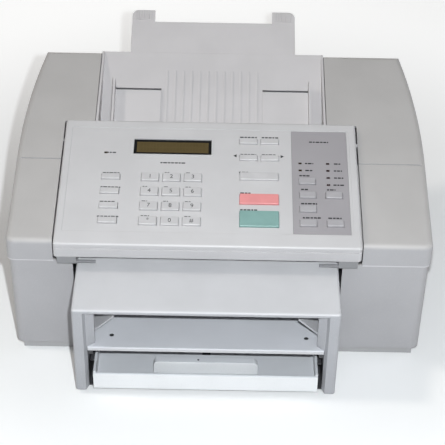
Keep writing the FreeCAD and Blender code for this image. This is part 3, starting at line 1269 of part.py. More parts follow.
scan_body = block("scan_body", about("paper_axis", f"2*{FRAME_HALF}"),
                  (behind("scan_front"), behind("scan_back")), ("scan_bottom", "scan_top"))
scan_slot = block("scan_slot", about("paper_axis", "guide_spread"),
                  about(behind("(scan_front + scan_back)/2"), "scan_glass"),
                  ("scan_top - scan_glass_sink", "scan_top + 5"))
node("scan_bar", cut("scan_bar", scan_body, scan_slot))

# Main board: stands on the pan behind the engine, with its sockets through the rear wall.
board_plate = block("board_plate", ("main_board_left", "main_board_right"),
                    (ahead("main_board_distance"), BOARD_Y), ("floor_gap", "main_board_top"))
board_parts = [board_plate]
sockets = []
for i, (low, high) in enumerate(jack_ranges):
    board_parts.append(block(f"jack_{i}", (low, high), (f"{BOARD_Y} - 0.5", JACK_END),
                             ("jack_bottom", "jack_bottom + jack_height")))
    sockets.append(block(f"socket_{i}", about(f"jack_x + {i}*jack_pitch", "jack_socket_width"),
                         (f"{JACK_END} - jack_socket_depth", f"{JACK_END} + 5"),
                         about("jack_bottom + jack_height/2", "jack_socket_height")))
board_parts.append(block("inlet", inlet_range, (f"{BOARD_Y} - 0.5", JACK_END),
                         ("jack_bottom", "jack_bottom + inlet_height")))
sockets.append(block("inlet_socket", about("inlet_x", "inlet_width - 2*inlet_wall"),
                     (f"{JACK_END} - inlet_depth", f"{JACK_END} + 5"),
                     ("jack_bottom + inlet_wall", "jack_bottom + inlet_height - inlet_wall")))
node("main_board", cut("main_board", fuse("board_whole", *board_parts), *sockets))

doc.recompute()
failed = [item.Name for item in doc.Objects if {"Invalid", "Error"} & set(item.State)]
for item in nodes:
    if item.Shape.isNull() or not item.Shape.isValid():
        failed.append(item.Label)
if failed:
    raise RuntimeError("failed: " + ", ".join(failed))
os.makedirs("parts", exist_ok=True)
for item in nodes:
    item.Shape.exportStep(f"parts/{item.Label}.step")
print(len(nodes), "pieces written")
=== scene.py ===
import math

import bmesh
import bpy
from mathutils import Matrix, Vector


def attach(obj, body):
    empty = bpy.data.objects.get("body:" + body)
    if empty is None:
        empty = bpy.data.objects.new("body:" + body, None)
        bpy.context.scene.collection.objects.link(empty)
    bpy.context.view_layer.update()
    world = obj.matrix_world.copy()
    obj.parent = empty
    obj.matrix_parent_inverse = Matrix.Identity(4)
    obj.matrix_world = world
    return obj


# A plain-paper fax machine in light grey plastic, dressed for a picture. Metres, +Z up, front at -Y.

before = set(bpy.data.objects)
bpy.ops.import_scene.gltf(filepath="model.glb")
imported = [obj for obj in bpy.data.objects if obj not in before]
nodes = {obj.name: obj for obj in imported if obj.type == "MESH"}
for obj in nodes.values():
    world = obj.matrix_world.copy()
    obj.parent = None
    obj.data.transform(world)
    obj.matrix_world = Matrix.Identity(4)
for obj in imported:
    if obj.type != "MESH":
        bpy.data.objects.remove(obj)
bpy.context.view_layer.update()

MM = 0.001
PAPER_AXIS = -12*MM
DECK_ANGLE = math.radians(17)
FEED_ANGLE = math.radians(30)

# Frames on the panel and on the document feeder: X across, Y up the slope and Z out of the face.
PANEL = Matrix.Translation((PAPER_AXIS, -139*MM, 156.742*MM)) @ Matrix.Rotation(DECK_ANGLE, 4, "X")
FEED = Matrix.Translation((PAPER_AXIS, 29.747*MM, 166.518*MM)) @ Matrix.Rotation(FEED_ANGLE, 4, "X")

# Levels of the printed face and of the number keys in the panel's frame.
FACE = -0.5*MM
KEY_TOP = 1.7*MM

# Where a finish changes on one piece: the seam's rim (a painted highlight), the rear sockets, the bay under
# the hood and the runners of the paper tray (painted shade), the flaps of the document guides (a painted
# shadow) and the settings' side of the panel.
SPLIT = 125*MM
RIM_HEIGHT = 1.6*MM
RIM_FADE = 0.4*MM
SOCKET_ROOT = 120*MM
BAY_HALF = 123.4*MM
BAY_TOP = 57*MM
BAY_FRONT = -186.3*MM
RUNNER_HALF = 118.1*MM
FLAP_EDGE = (72.8*MM, 75.8*MM)
FLAP_TOP = 6*MM
SETTINGS_SIDE = 100*MM


class Wire:
    """A shader socket. Python's operators on it add Math nodes."""

    def __init__(self, finish, socket):
        self.finish = finish
        self.socket = socket

    def maths(self, operation, *values):
        return self.finish.node("ShaderNodeMath", {"operation": operation}, dict(enumerate(values)))

    def __add__(self, other):
        return self.maths("ADD", self, other)

    def __radd__(self, other):
        return self.maths("ADD", other, self)

    def __sub__(self, other):
        return self.maths("SUBTRACT", self, other)

    def __rsub__(self, other):
        return self.maths("SUBTRACT", other, self)

    def __mul__(self, other):
        return self.maths("MULTIPLY", self, other)

    def __rmul__(self, other):
        return self.maths("MULTIPLY", other, self)

    def __lt__(self, other):
        return self.maths("LESS_THAN", self, other)

    def __gt__(self, other):
        return self.maths("GREATER_THAN", self, other)

    def __abs__(self):
        return self.maths("ABSOLUTE", self)

    def modulo(self, step):
        return self.maths("FLOORED_MODULO", self, step)

    def between(self, low, high):
        """0 at low and below, 1 at high and above, smooth in between."""
        return self.finish.node("ShaderNodeMapRange", {"interpolation_type": "SMOOTHSTEP"},
                                {"Value": self, "From Min": low, "From Max": high})


class Finish:
    """A procedural material round one Principled shader."""

    def __init__(self, name, **constants):
        self.material = bpy.data.materials.new(name)
        self.material.use_nodes = True
        self.tree = self.material.node_tree
        self.tree.nodes.clear()
        self.shader = self.tree.nodes.new("ShaderNodeBsdfPrincipled")
        output = self.tree.nodes.new("ShaderNodeOutputMaterial")
        self.tree.links.new(self.shader.outputs[0], output.inputs[0])
        for socket, value in constants.items():
            self.shader.inputs[socket.replace("_", " ")].default_value = value

    def node(self, kind, settings=None, sockets=None, out=0):
        """Adds a node: its settings first, then the values or links of its sockets."""
        item = self.tree.nodes.new(kind)
        for name, value in (settings or {}).items():
            setattr(item, name, value)
        for key, value in (sockets or {}).items():
            if isinstance(value, Wire):
                self.tree.links.new(value.socket, item.inputs[key])
            else:
                item.inputs[key].default_value = value
        return Wire(self, item.outputs[out])

    def feed(self, socket, wire):
        """Links a wire to one of the shader's sockets."""
        self.tree.links.new(wire.socket, self.shader.inputs[socket])

    def place(self, spot=None):
        """Object coordinates, or those of a tilted frame on the object."""
        where = self.node("ShaderNodeTexCoord", out="Object")
        if spot is None:
            return where
        return self.node("ShaderNodeMapping", {"vector_type": "TEXTURE"},
                         {"Vector": where, "Location": spot.to_translation(), "Rotation": spot.to_euler()})

    def noise(self, where, size, detail=2.0, rough=0.5):
        """Cloudy noise whose lumps are about size metres across."""
        return self.node("ShaderNodeTexNoise", {},
                         {"Vector": where, "Scale": 1/size, "Detail": detail, "Roughness": rough}, "Fac")

    def mix(self, factor, first, second):
        """A colour between two others: the first at 0, the second at 1."""
        return self.node("ShaderNodeMix", {"data_type": "RGBA"}, {0: factor, 6: first, 7: second}, 2)

    def split(self, where):
        """The three parts of a vector."""
        parts = self.tree.nodes.new("ShaderNodeSeparateXYZ")
        self.tree.links.new(where.socket, parts.inputs[0])
        return [Wire(self, socket) for socket in parts.outputs]

    def softened(self, radius):
        """A normal that rounds sharp edges, and a mask of where it does so."""
        soft = self.node("ShaderNodeBevel", {"samples": 6}, {"Radius": radius})
        flat = self.node("ShaderNodeNewGeometry", out="Normal")
        match = self.node("ShaderNodeVectorMath", {"operation": "DOT_PRODUCT"}, {0: soft, 1: flat}, "Value")
        return soft, (1 - match).between(0.01, 0.2)

    def painted_sides(self):
        """A mask for painted shade and highlight: 1 on the object's vertical faces and undersides, 0 on
        faces that look up to the daylight.
        """
        facing = self.node("ShaderNodeTexCoord", out="Normal")
        x, y, z = self.split(facing)
        return 1 - z.between(0.1, 0.75)

    def bump(self, height, normal, strength, distance):
        """A normal with fine relief on it."""
        return self.node("ShaderNodeBump", {}, {"Strength": strength, "Distance": distance,
                                                "Height": height, "Normal": normal})


def tone(colour, factor):
    """A colour made lighter or darker."""
    return tuple(min(1.0, part*factor) for part in colour[:3]) + (1.0,)


def moulded(name, colour, rough=0.45, grain=0.55*MM, depth=0.06*MM, mottle=0.025, edge=0.5*MM, worn=1.12,
            sides=None, painted_patch=None):
    """Moulded plastic: a spark-eroded grain, faint clouds of colour, rubbed edges, sides painted in another
    tone as shade or highlight, and painted shade or highlight in one place, whose function gives its mask
    and its colour."""
    look = Finish(name, Specular_IOR_Level=0.42)
    where = look.place()
    clouds = look.noise(where, 45*MM, 3)
    specks = look.noise(where, 1.4*MM, 3)
    pits = look.noise(where, grain, 2)
    soft, rub = look.softened(edge)
    body = look.mix(clouds.between(0.3, 0.7), tone(colour, 1 - mottle), tone(colour, 1 + mottle))
    # Painted light: vertical faces and undersides take the sides tone, darker as painted shade, lighter as
    # a painted highlight on the paper tray.
    if sides:
        painted_sides = look.mix(clouds.between(0.3, 0.7), tone(sides, 1 - mottle), tone(sides, 1 + mottle))
        body = look.mix(look.painted_sides(), body, painted_sides)
    body = look.mix(specks.between(0.55, 0.8)*0.35, body, tone(colour, 1 - 2*mottle))
    body = look.mix(rub*0.6, body, tone(colour, worn))
    # Painted shade or highlight in one place, laid over the rest.
    if painted_patch:
        mask, shade = painted_patch(look)
        body = look.mix(mask, body, shade)
    look.feed("Base Color", body)
    look.feed("Roughness", rough - 0.1*rub + 0.1*(pits - 0.5) + 0.08*(clouds - 0.5))
    look.feed("Normal", look.bump(pits, soft, 0.35, depth))
    return look.material


def satin(name, colour, rough=0.35, mottle=0.04, edge=0.3*MM):
    """Smooth moulded plastic with fine handling marks."""
    look = Finish(name, Specular_IOR_Level=0.45)
    where = look.place()
    clouds = look.noise(where, 14*MM, 3)
    marks = look.noise(where, 2.2*MM, 4, 0.65)
    soft, rub = look.softened(edge)
    body = look.mix(clouds.between(0.3, 0.7), tone(colour, 1 - mottle), tone(colour, 1 + mottle))
    look.feed("Base Color", look.mix(rub*0.5, body, tone(colour, 1.15)))
    look.feed("Roughness", rough + 0.14*(marks - 0.5))
    look.feed("Normal", look.bump(marks, soft, 0.12, 0.05*MM))
    return look.material


def steel(name, colour, rough, drawn=(1, 40, 40)):
    """Bright or plated metal with fine drawn lines along X."""
    look = Finish(name, Metallic=1.0)
    where = look.place()
    stretched = look.node("ShaderNodeMapping", {}, {"Vector": where, "Scale": drawn})
    lines = look.noise(stretched, 6*MM, 3)
    stain = look.noise(where, 25*MM, 3)
    soft, rub = look.softened(0.3*MM)
    look.feed("Base Color", look.mix(stain.between(0.35, 0.75), tone(colour, 1.05), tone(colour, 0.85)))
    look.feed("Roughness", rough + 0.15*(lines - 0.5) + 0.12*(stain - 0.5) - 0.05*rub)
    look.feed("Normal", look.bump(lines, soft, 0.15, 0.05*MM))
    return look.material


def rubber(name, colour):
    """Dull rubber with a fine matt skin and pale dust."""
    look = Finish(name, Specular_IOR_Level=0.25)
    where = look.place()
    skin = look.noise(where, 0.5*MM, 3)
    dust = look.noise(where, 9*MM, 4)
    soft, rub = look.softened(0.5*MM)
    body = look.mix(dust.between(0.5, 0.8)*0.3, colour, tone(colour, 2.2))
    look.feed("Base Color", look.mix(rub*0.4, body, tone(colour, 1.8)))
    look.feed("Roughness", 0.75 + 0.2*(skin - 0.5))
    look.feed("Normal", look.bump(skin, soft, 0.4, 0.1*MM))
    return look.material


def circuit_board(name):
    """Green solder mask over copper tracks, with tinned pads, and black sockets behind it."""
    track_pitch = 2.5*MM
    pad_pitch = 5*MM
    look = Finish(name, Specular_IOR_Level=0.5)
    where = look.place()
    x, y, z = look.split(where)
    wander = look.noise(where, 18*MM, 2)
    drift = 4*MM*wander
    across = abs((x + drift).modulo(track_pitch) - track_pitch/2)
    up = abs((y + z + drift).modulo(pad_pitch) - pad_pitch/2)
    track = (across < 0.35*MM)*(wander > 0.48)
    pad = (across < 0.7*MM)*(up < 0.6*MM)*(wander < 0.5)
    soft, rub = look.softened(0.2*MM)
    mask = look.mix(track*0.6, (0.012, 0.085, 0.035, 1), (0.03, 0.16, 0.06, 1))
    socket = y > SOCKET_ROOT
    face = look.mix(pad, mask, (0.62, 0.6, 0.56, 1))
    look.feed("Base Color", look.mix(socket, face, (0.02, 0.02, 0.022, 1)))
    look.feed("Roughness", 0.35 - 0.1*pad + 0.1*(wander - 0.5) - 0.05*rub)
    look.feed("Metallic", pad*(1 - socket)*0.9)
    look.feed("Normal", look.bump(track + pad, soft, 0.3, 0.05*MM))
    return look.material


def display(name):
    """A dark liquid-crystal window: black border, olive field and two faint rows of character cells."""
    window_x = -40.6*MM
    window_v = 132.7*MM
    cell_pitch = 3.55*MM
    row_rise = 3.2*MM
    look = Finish(name, Specular_IOR_Level=0.25, Coat_Weight=0.08, Coat_Roughness=0.05)
    x, v, w = look.split(look.place(PANEL))
    along = x - window_x
    up = v - window_v
    field = abs(along).between(39.2*MM, 38.6*MM)*abs(up).between(7.6*MM, 7.0*MM)
    column = abs(along.modulo(cell_pitch) - cell_pitch/2)
    row = abs(abs(up) - row_rise)
    cell = (column < 1.45*MM)*(row < 2.5*MM)*(abs(along) < 36*MM)
    dots = ((x.modulo(0.6*MM)) < 0.46*MM)*((v.modulo(0.66*MM)) < 0.5*MM)
    cloud = look.noise(look.place(), 12*MM, 2)
    olive = look.mix(cloud, (0.090, 0.065, 0.026, 1), (0.115, 0.083, 0.034, 1))
    olive = look.mix(cell*dots*0.3, olive, (0.055, 0.038, 0.014, 1))
    look.feed("Base Color", look.mix(field, (0.008, 0.008, 0.008, 1), olive))
    look.feed("Roughness", 0.22 + 0.1*(cloud - 0.5))
    return look.material


def lamps(name):
    """Small unlit light pipes: amber at the left of the panel, dark red among the settings."""
    look = Finish(name, Specular_IOR_Level=0.5, Coat_Weight=0.4, Coat_Roughness=0.1)
    x, v, w = look.split(look.place(PANEL))
    frost = look.noise(look.place(), 0.8*MM, 3)
    dark = look.mix(frost, (0.022, 0.009, 0.009, 1), (0.04, 0.014, 0.013, 1))
    amber = look.mix(frost, (0.028, 0.017, 0.008, 1), (0.045, 0.027, 0.012, 1))
    soft, rub = look.softened(0.3*MM)
    tint = look.mix(x > SETTINGS_SIDE, amber, dark)
    look.feed("Base Color", look.mix(rub*0.3, tint, (0.16, 0.08, 0.06, 1)))
    look.feed("Roughness", 0.2 + 0.2*(frost - 0.5))
    look.feed("Normal", look.bump(frost, soft, 0.1, 0.05*MM))
    return look.material


def ink(name, colour):
    """Screen-printed ink, thin and slightly uneven."""
    look = Finish(name, Specular_IOR_Level=0.3)
    where = look.place()
    cover = look.noise(where, 0.7*MM, 3)
    look.feed("Base Color", look.mix(cover.between(0.3, 0.8)*0.4, colour, tone(colour, 1.7)))
    look.feed("Roughness", 0.5 + 0.2*(cover - 0.5))
    return look.material


def floor_paint(name):
    """A pale matt sweep that glows a little away from the object, as a lit backdrop does."""
    look = Finish(name, Specular_IOR_Level=0.2, Emission_Strength=1.0)
    where = look.place()
    cloud = look.noise(where, 0.6, 3)
    away = look.node("ShaderNodeVectorMath", {"operation": "LENGTH"}, {0: where}, "Value")
    glow = look.mix(away.between(0.2, 0.75), (0.06, 0.06, 0.06, 1), (0.42, 0.42, 0.42, 1))
    look.feed("Emission Color", glow)
    look.feed("Base Color", look.mix(cloud, (0.86, 0.86, 0.86, 1), (0.89, 0.89, 0.89, 1)))
    look.feed("Roughness", 0.7 + 0.1*(cloud - 0.5))
    return look.material


# Tones of painted shade for the case's sides, the gaps in the bay and the rear edge of the guides' flaps,
# and the feeder's own colour.
CASE_SHADED_SIDES = (0.365, 0.358, 0.37, 1)
FEEDER_SHADE = (0.60, 0.575, 0.58, 1)
PAINTED_GAP_SHADE = (0.05, 0.05, 0.054, 1)
PAINTED_FLAP_SHADOW = (0.09, 0.09, 0.095, 1)


def painted_bay_shade(look):
    """Painted shade on the hood's inner faces under the output tray, a dark slot beside the paper tray."""
    x, y, z = look.split(look.place())
    return (z < BAY_TOP)*(abs(x - PAPER_AXIS) < BAY_HALF)*(y > BAY_FRONT), PAINTED_GAP_SHADE


def painted_runner_shade(look):
    """Painted shade on the runners on the outer sides of the paper tray."""
    x, y, z = look.split(look.place())
    return abs(x - PAPER_AXIS) > RUNNER_HALF, PAINTED_GAP_SHADE


def painted_rim_highlight(look):
    """A painted highlight along the lower edge of the top cover."""
    x, y, z = look.split(look.place())
    rim = SPLIT + RIM_HEIGHT
    return z.between(rim, rim - RIM_FADE), tone(CASE_SHADED_SIDES, 1.45)


def flap_edge_painted_shadow(look):
    """A painted shadow line along the rear edge of a guide's flap."""
    x, v, w = look.split(look.place(FEED))
    near, far = FLAP_EDGE
    return (v > near)*(v < far)*(w < FLAP_TOP), PAINTED_FLAP_SHADOW


# The sides tones are painted: shade on vertical faces and undersides, and a highlight on the paper tray's.
case_grey = moulded("case_grey", (0.50, 0.485, 0.475, 1), sides=CASE_SHADED_SIDES)
cover_grey = moulded("cover_grey", (0.49, 0.47, 0.46, 1), sides=CASE_SHADED_SIDES, painted_patch=painted_rim_highlight)
hood_grey = moulded("hood_grey", (0.59, 0.585, 0.60, 1), sides=(0.35, 0.352, 0.372, 1), painted_patch=painted_bay_shade)
tray_white = moulded("tray_white", (0.585, 0.595, 0.62, 1), sides=(0.72, 0.725, 0.735, 1),
                     painted_patch=painted_runner_shade)
deck_grey = moulded("deck_grey", (0.62, 0.625, 0.655, 1), sides=(0.50, 0.50, 0.515, 1))
panel_grey = moulded("panel_grey", (0.59, 0.575, 0.58, 1), rough=0.42, sides=(0.43, 0.42, 0.43, 1))
feeder_grey = moulded("feeder_grey", FEEDER_SHADE)
guide_grey = moulded("guide_grey", FEEDER_SHADE, painted_patch=flap_edge_painted_shadow)
key_white = satin("key_white", (0.565, 0.55, 0.555, 1))
stop_red = satin("stop_red", (0.78, 0.30, 0.30, 1))
start_green = satin("start_green", (0.235, 0.39, 0.365, 1))
settings_grey = moulded("settings_grey", (0.365, 0.345, 0.36, 1), rough=0.5)
settings_key_grey = satin("settings_key_grey", (0.41, 0.395, 0.41, 1))
latch_grey = moulded("latch_grey", (0.25, 0.25, 0.26, 1))
base_grey = moulded("base_grey", (0.36, 0.355, 0.36, 1), rough=0.55)
inner_white = moulded("inner_white", (0.62, 0.61, 0.60, 1))
carriage_black = moulded("carriage_black", (0.022, 0.022, 0.024, 1), rough=0.5)
cartridge_black = satin("cartridge_black", (0.03, 0.03, 0.034, 1))
frame_steel = steel("frame_steel", (0.62, 0.63, 0.65, 1), 0.38)
rod_steel = steel("rod_steel", (0.72, 0.72, 0.72, 1), 0.18)
screw_steel = steel("screw_steel", (0.45, 0.45, 0.44, 1), 0.35)
contact_gold = steel("contact_gold", (0.83, 0.62, 0.25, 1), 0.25)
foot_rubber = rubber("foot_rubber", (0.03, 0.03, 0.032, 1))
roller_rubber = rubber("roller_rubber", (0.05, 0.05, 0.055, 1))
board_green = circuit_board("board_green")
display_glass = display("display_glass")
lamp_tints = lamps("lamp_tints")
dark_ink = ink("dark_ink", (0.025, 0.025, 0.028, 1))
grey_ink = ink("grey_ink", (0.06, 0.06, 0.065, 1))

FINISHES = {
    "base_pan": base_grey, "case_screws": screw_steel, "rubber_feet": foot_rubber, "lower_case": case_grey,
    "top_cover": cover_grey, "panel_frame": panel_grey, "settings_plate": settings_grey,
    "lcd_display": display_glass, "indicator_lights": lamp_tints, "panel_board": board_green,
    "panel_back_cover": inner_white, "stop_key": stop_red, "start_key": start_green,
    "panel_latch": latch_grey, "document_tray": feeder_grey, "left_document_guide": guide_grey,
    "right_document_guide": guide_grey, "guide_pinion": inner_white, "tray_extension": feeder_grey,
    "tray_hood": hood_grey, "left_wing": hood_grey, "right_wing": hood_grey, "output_tray": deck_grey,
    "input_tray": tray_white, "length_adjuster": tray_white, "engine_frame": frame_steel,
    "carriage_rod": rod_steel, "carriage": carriage_black, "ink_cartridges": cartridge_black,
    "document_feed_roller": roller_rubber, "paper_feed_roller": roller_rubber, "scan_bar": carriage_black,
    "main_board": board_green,
}
for name, item in nodes.items():
    look = FINISHES.get(name)
    if look is None:
        look = settings_key_grey if name.startswith("settings_key") else key_white
    item.data.materials.clear()
    item.data.materials.append(look)


def add_piece(name, shape, body, look):
    """Makes a finished bmesh into a piece that rides on a body."""
    bmesh.ops.recalc_face_normals(shape, faces=shape.faces)
    mesh = bpy.data.meshes.new(name)
    shape.to_mesh(mesh)
    shape.free()
    add_mesh(name, mesh, body, look)


def add_mesh(name, mesh, body, look):
    """Makes a finished mesh into a piece that rides on a body."""
    piece = bpy.data.objects.new(name, mesh)
    bpy.context.scene.collection.objects.link(piece)
    mesh.materials.clear()
    mesh.materials.append(look)
    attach(piece, body)


def slab(shape, low, high, corner=0.0, spot=Matrix(), edge="Z"):
    """A block between two corners, its edges along one axis rounded, set in a tilted frame."""
    low, high = Vector(low), Vector(high)
    size = high - low
    made = bmesh.ops.create_cube(shape, size=1.0)["verts"]
    bmesh.ops.scale(shape, vec=size, verts=made)
    bmesh.ops.translate(shape, vec=(low + high)/2, verts=made)
    if corner:
        axis = "XYZ".index(edge)
        edges = [e for e in {e for v in made for e in v.link_edges}
                 if abs((e.verts[0].co - e.verts[1].co).normalized()[axis]) > 0.9]
        done = bmesh.ops.bevel(shape, geom=edges, offset=corner, affect="EDGES", segments=4,
                               profile=0.5, material=-1)
        made = list({v for f in done["faces"] for v in f.verts} | {v for v in made if v.is_valid})
    bmesh.ops.transform(shape, matrix=spot, verts=made)


# Printing on the panel: plain lines where the captions are, and arrows by the two arrow keys.
# Each line is given by its middle across and up the panel, and its length, in millimetres.
PANEL_CAPTIONS = [
    (-107, 123.5, 11), (-39.5, 110.3, 27), (41.5, 148.3, 18.5), (65, 148.3, 18), (41.5, 123.8, 17),
    (64, 123.8, 16), (36.5, 98.9, 10), (38.5, 70.7, 11), (42, 48.4, 18),
]
SETTINGS_CAPTIONS = [
    (118, 143.1, 21), (107, 112.8, 9), (107, 103.1, 9), (101.5, 95.8, 11), (102, 77.1, 9), (105.5, 58, 17),
    (108, 39.4, 19), (137, 112.8, 7), (137.5, 103.1, 9), (138, 93.4, 10), (138, 83.7, 12), (129.5, 77.1, 9),
    (132, 39.4, 14),
]
# The rows and columns of the number keys, whose rows the function keys share.
KEY_ROWS = [60.6 + (1.5 - row)*19.5 for row in range(4)]
NUMBER_COLUMNS = [-40.3 + column*22.8 for column in (-1, 0, 1)]
# The middle and the length of the line over each function key.
FUNCTION_LINES = [(-105, 18), (-104.5, 21), (-106, 17), (-104, 24)]
FUNCTION_LINE_RISE = 5.2
# The row, the column and the length of the line of letters over each number key that has one.
LETTER_LINES = [(0, 1, 5), (0, 2, 5), (1, 0, 5), (1, 1, 5), (1, 2, 5.5), (2, 0, 6), (2, 1, 5), (2, 2, 6),
                (3, 0, 9), (3, 2, 7)]
LETTER_RISE = 6.9
LETTER_START = -7.5
LETTER_HEIGHT = 1.1
# The dashes of a line, in turn, and the gap between them.
WORDS = (3.4, 2.2, 4.1, 2.8, 3.1)
WORD_GAP = 0.8
LEAST_WORD = 1
WORD_ROUND = 0.4*MM
INK_DEPTH = 0.04*MM


def caption(shape, x, v, length, first, height=1.7):
    """A printed line: dashes of a few lengths, as long in all as the line."""
    at = x - length/2
    last = x + length/2
    turn = first
    while at < last - LEAST_WORD:
        end = min(at + WORDS[turn % len(WORDS)], last)
        low = (at*MM, (v - height/2)*MM, FACE - INK_DEPTH)
        high = (end*MM, (v + height/2)*MM, FACE + INK_DEPTH)
        slab(shape, low, high, WORD_ROUND, PANEL)
        at = end + WORD_GAP
        turn += 1


printed = bmesh.new()
for order, (x, v, length) in enumerate(PANEL_CAPTIONS):
    caption(printed, x, v, length, order)
for row, (x, length) in enumerate(FUNCTION_LINES):
    caption(printed, x, KEY_ROWS[row] + FUNCTION_LINE_RISE, length, row)
for row, column, length in LETTER_LINES:
    x = NUMBER_COLUMNS[column] + LETTER_START + length/2
    caption(printed, x, KEY_ROWS[row] + LETTER_RISE, length, row + column, LETTER_HEIGHT)
add_piece("panel_captions", printed, "control_panel", grey_ink)
printed = bmesh.new()
for order, (x, v, length) in enumerate(SETTINGS_CAPTIONS):
    caption(printed, x, v, length, order)
add_piece("settings_captions", printed, "control_panel", dark_ink)

ARROW_RADIUS = 2.4*MM
ARROW_ROW = 121.8*MM
arrows = bmesh.new()
for x, facing in ((27.6*MM, -1), (77.6*MM, 1)):
    made = bmesh.ops.create_cone(arrows, cap_ends=True, segments=3, radius1=ARROW_RADIUS,
                                 radius2=ARROW_RADIUS, depth=2*INK_DEPTH)
    turn = Matrix.Rotation(-facing*math.pi/2, 4, "Z")
    bmesh.ops.transform(arrows, verts=made["verts"],
                        matrix=PANEL @ Matrix.Translation((x, ARROW_ROW, FACE)) @ turn)
add_piece("arrow_marks", arrows, "control_panel", dark_ink)

# Figures on the number keys.
DIGITS = "123456789*0#"
DIGIT_SIZE = 7.2*MM


def figure(name, text, spot, body):
    """One printed character, made a mesh before it is placed."""
    curve = bpy.data.curves.new(name, "FONT")
    curve.body = text
    curve.size = DIGIT_SIZE
    curve.align_x = "CENTER"
    curve.align_y = "CENTER"
    curve.extrude = INK_DEPTH
    curve.resolution_u = 4
    holder = bpy.data.objects.new(name + "_text", curve)
    bpy.context.scene.collection.objects.link(holder)
    mesh = bpy.data.meshes.new_from_object(holder)
    bpy.data.objects.remove(holder)
    bpy.data.curves.remove(curve)
    mesh.name = name
    mesh.transform(spot)
    add_mesh(name, mesh, body, dark_ink)


for place, text in enumerate(DIGITS):
    row, column = divmod(place, len(NUMBER_COLUMNS))
    middle = Matrix.Translation((NUMBER_COLUMNS[column]*MM, KEY_ROWS[row]*MM, KEY_TOP))
    figure(f"figure_{place + 1}", text, PANEL @ middle, f"number_key_{place + 1}")

# Grip ribs on the two prongs of the tray extension.
RIB_COUNT = 7
RIB_PITCH = 3*MM
RIB_HALF = 0.7*MM
RIB_ROUND = 0.5*MM
RIB_FOOT = -3.6*MM
RIB_TOP = -2.7*MM
RIB_START = 171.5*MM
RIB_END = 184*MM
OUTER_RIB = 91.5*MM
ribs = bmesh.new()
for side in (-1, 1):
    for step in range(RIB_COUNT):
        x = side*(OUTER_RIB - step*RIB_PITCH)
        low = (x - RIB_HALF, RIB_START, RIB_FOOT)
        high = (x + RIB_HALF, RIB_END, RIB_TOP)
        slab(ribs, low, high, RIB_ROUND, FEED, "Y")
add_piece("extension_grips", ribs, "tray_extension", feeder_grey)

# Dished plugs in the two holes of the output tray, and a printed dot on the paper length adjuster.
DECK_TOP = 60*MM
PLUG_COLUMNS = (-111.1*MM, 92.9*MM)
PLUG_ROW = -168*MM
# Half of a plug's section, as radius and height from the tray's top, in millimetres.
PLUG = [(0, -1.1), (1.3, -0.8), (1.9, -0.1), (2.2, -0.1), (2.38, -0.4), (2.38, -3.5), (0, -3.5)]
DOT_PLACE = (-20*MM, -174.5*MM, 33*MM)
DOT_RADIUS = 1.2*MM
plugs = bmesh.new()
for x in PLUG_COLUMNS:
    middle = Vector((x, PLUG_ROW, DECK_TOP))
    corners = [plugs.verts.new(middle + Vector((radius, 0, height))*MM) for radius, height in PLUG]
    edges = [plugs.edges.new(pair) for pair in zip(corners, corners[1:])]
    bmesh.ops.spin(plugs, geom=corners + edges, axis=(0, 0, 1), cent=middle, angle=2*math.pi, steps=24)
bmesh.ops.remove_doubles(plugs, verts=plugs.verts, dist=0.01*MM)
add_piece("deck_plugs", plugs, "case", carriage_black)
dot = bmesh.new()
bmesh.ops.create_cone(dot, cap_ends=True, segments=16, radius1=DOT_RADIUS, radius2=DOT_RADIUS,
                      depth=2*INK_DEPTH, matrix=Matrix.Translation(DOT_PLACE))
add_piece("adjuster_dot", dot, "length_adjuster", dark_ink)

# Contacts in the rear sockets: spring wires in the two line jacks and three blades in the mains inlet.
JACKS = (158*MM, 176*MM)
WIRE_PITCH = 1.1*MM
WIRE_HALF = 0.22*MM
WIRE_ROUND = 0.1*MM
WIRE_ROOT = 126*MM
WIRE_TIP = 135*MM
WIRE_BOTTOM = 27.2*MM
WIRE_TOP = 27.7*MM
BLADES = ((105*MM, 31*MM), (119*MM, 31*MM), (112*MM, 34*MM))
BLADE_HALF_WIDTH = 1*MM
BLADE_HALF_HEIGHT = 2*MM
BLADE_ROUND = 0.6*MM
BLADE_ROOT = 123.5*MM
BLADE_TIP = 134.5*MM
wires = bmesh.new()
for jack in JACKS:
    for step in (-1.5, -0.5, 0.5, 1.5):
        x = jack + step*WIRE_PITCH
        low = (x - WIRE_HALF, WIRE_ROOT, WIRE_BOTTOM)
        high = (x + WIRE_HALF, WIRE_TIP, WIRE_TOP)
        slab(wires, low, high, WIRE_ROUND, edge="Y")
add_piece("jack_contacts", wires, "case", contact_gold)
blades = bmesh.new()
for x, z in BLADES:
    low = (x - BLADE_HALF_WIDTH, BLADE_ROOT, z - BLADE_HALF_HEIGHT)
    high = (x + BLADE_HALF_WIDTH, BLADE_TIP, z + BLADE_HALF_HEIGHT)
    slab(blades, low, high, BLADE_ROUND, edge="Y")
add_piece("inlet_blades", blades, "case", screw_steel)

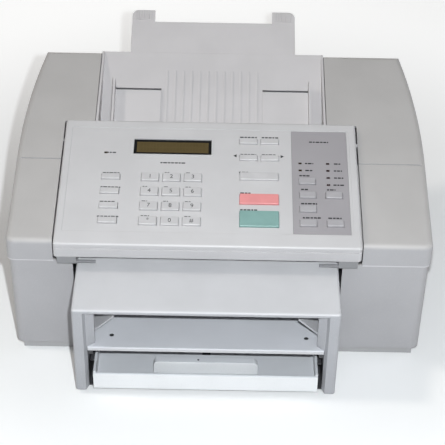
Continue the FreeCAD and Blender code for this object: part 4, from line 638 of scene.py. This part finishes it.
# Floor, lights and camera.
FLOOR_HALF = 6.0
ground = bmesh.new()
bmesh.ops.create_grid(ground, x_segments=1, y_segments=1, size=FLOOR_HALF)
floor_mesh = bpy.data.meshes.new("floor")
ground.to_mesh(floor_mesh)
ground.free()
floor = bpy.data.objects.new("floor", floor_mesh)
floor_mesh.materials.append(floor_paint("floor_paint"))
bpy.context.scene.collection.objects.link(floor)

world = bpy.data.worlds.new("studio")
world.use_nodes = True
backdrop = world.node_tree.nodes["Background"]
backdrop.inputs["Color"].default_value = (0.94, 0.97, 1.0, 1)
backdrop.inputs["Strength"].default_value = 0.12
bpy.context.scene.world = world


def lamp(name, spot, aim, power, size, colour):
    """A square lamp at a spot, turned to what it is aimed at."""
    light = bpy.data.lights.new(name, "AREA")
    light.energy = power
    light.size = size
    light.color = colour
    holder = bpy.data.objects.new(name, light)
    holder.location = spot
    holder.rotation_euler = (Vector(aim) - Vector(spot)).to_track_quat("-Z", "Y").to_euler()
    bpy.context.scene.collection.objects.link(holder)


lamp("front_light", (0.034, -1.03, 0.878), (0, -0.10, 0.118), 13.8, 0.02, (0.92, 0.97, 1.0))
lamp("top_light", (-2.4, -0.05, 2.908), (0, -0.15, 0.108), 26, 0.35, (1.0, 0.94, 0.86))
lamp("sky_light", (0.0, 0.35, 1.908), (0, 0.1, 0.108), 2, 2.4, (1.0, 0.96, 0.92))
lamp("rear_light", (-0.3, 1.9, 0.35), (0, 0.1, 0.1), 10, 1.2, (1.0, 0.98, 0.95))
lamp("side_light", (1.9, 0.3, 0.4), (0, 0, 0.1), 7, 1.2, (0.95, 0.98, 1.0))

LENS = 104.36
SENSOR = 36
EYE = (2.90*MM, -1192.33*MM, 952.54*MM)
TILT = math.radians(54)
ROLL = math.radians(1.05)
eye = bpy.data.cameras.new("camera")
eye.lens = LENS
eye.sensor_width = SENSOR
eye.clip_end = 20
camera = bpy.data.objects.new("camera", eye)
camera.matrix_world = (Matrix.Translation(EYE) @ Matrix.Rotation(TILT, 4, "X")
                       @ Matrix.Rotation(ROLL, 4, "Z"))
bpy.context.scene.collection.objects.link(camera)
bpy.context.scene.camera = camera
bpy.context.scene.view_settings.view_transform = "Standard"
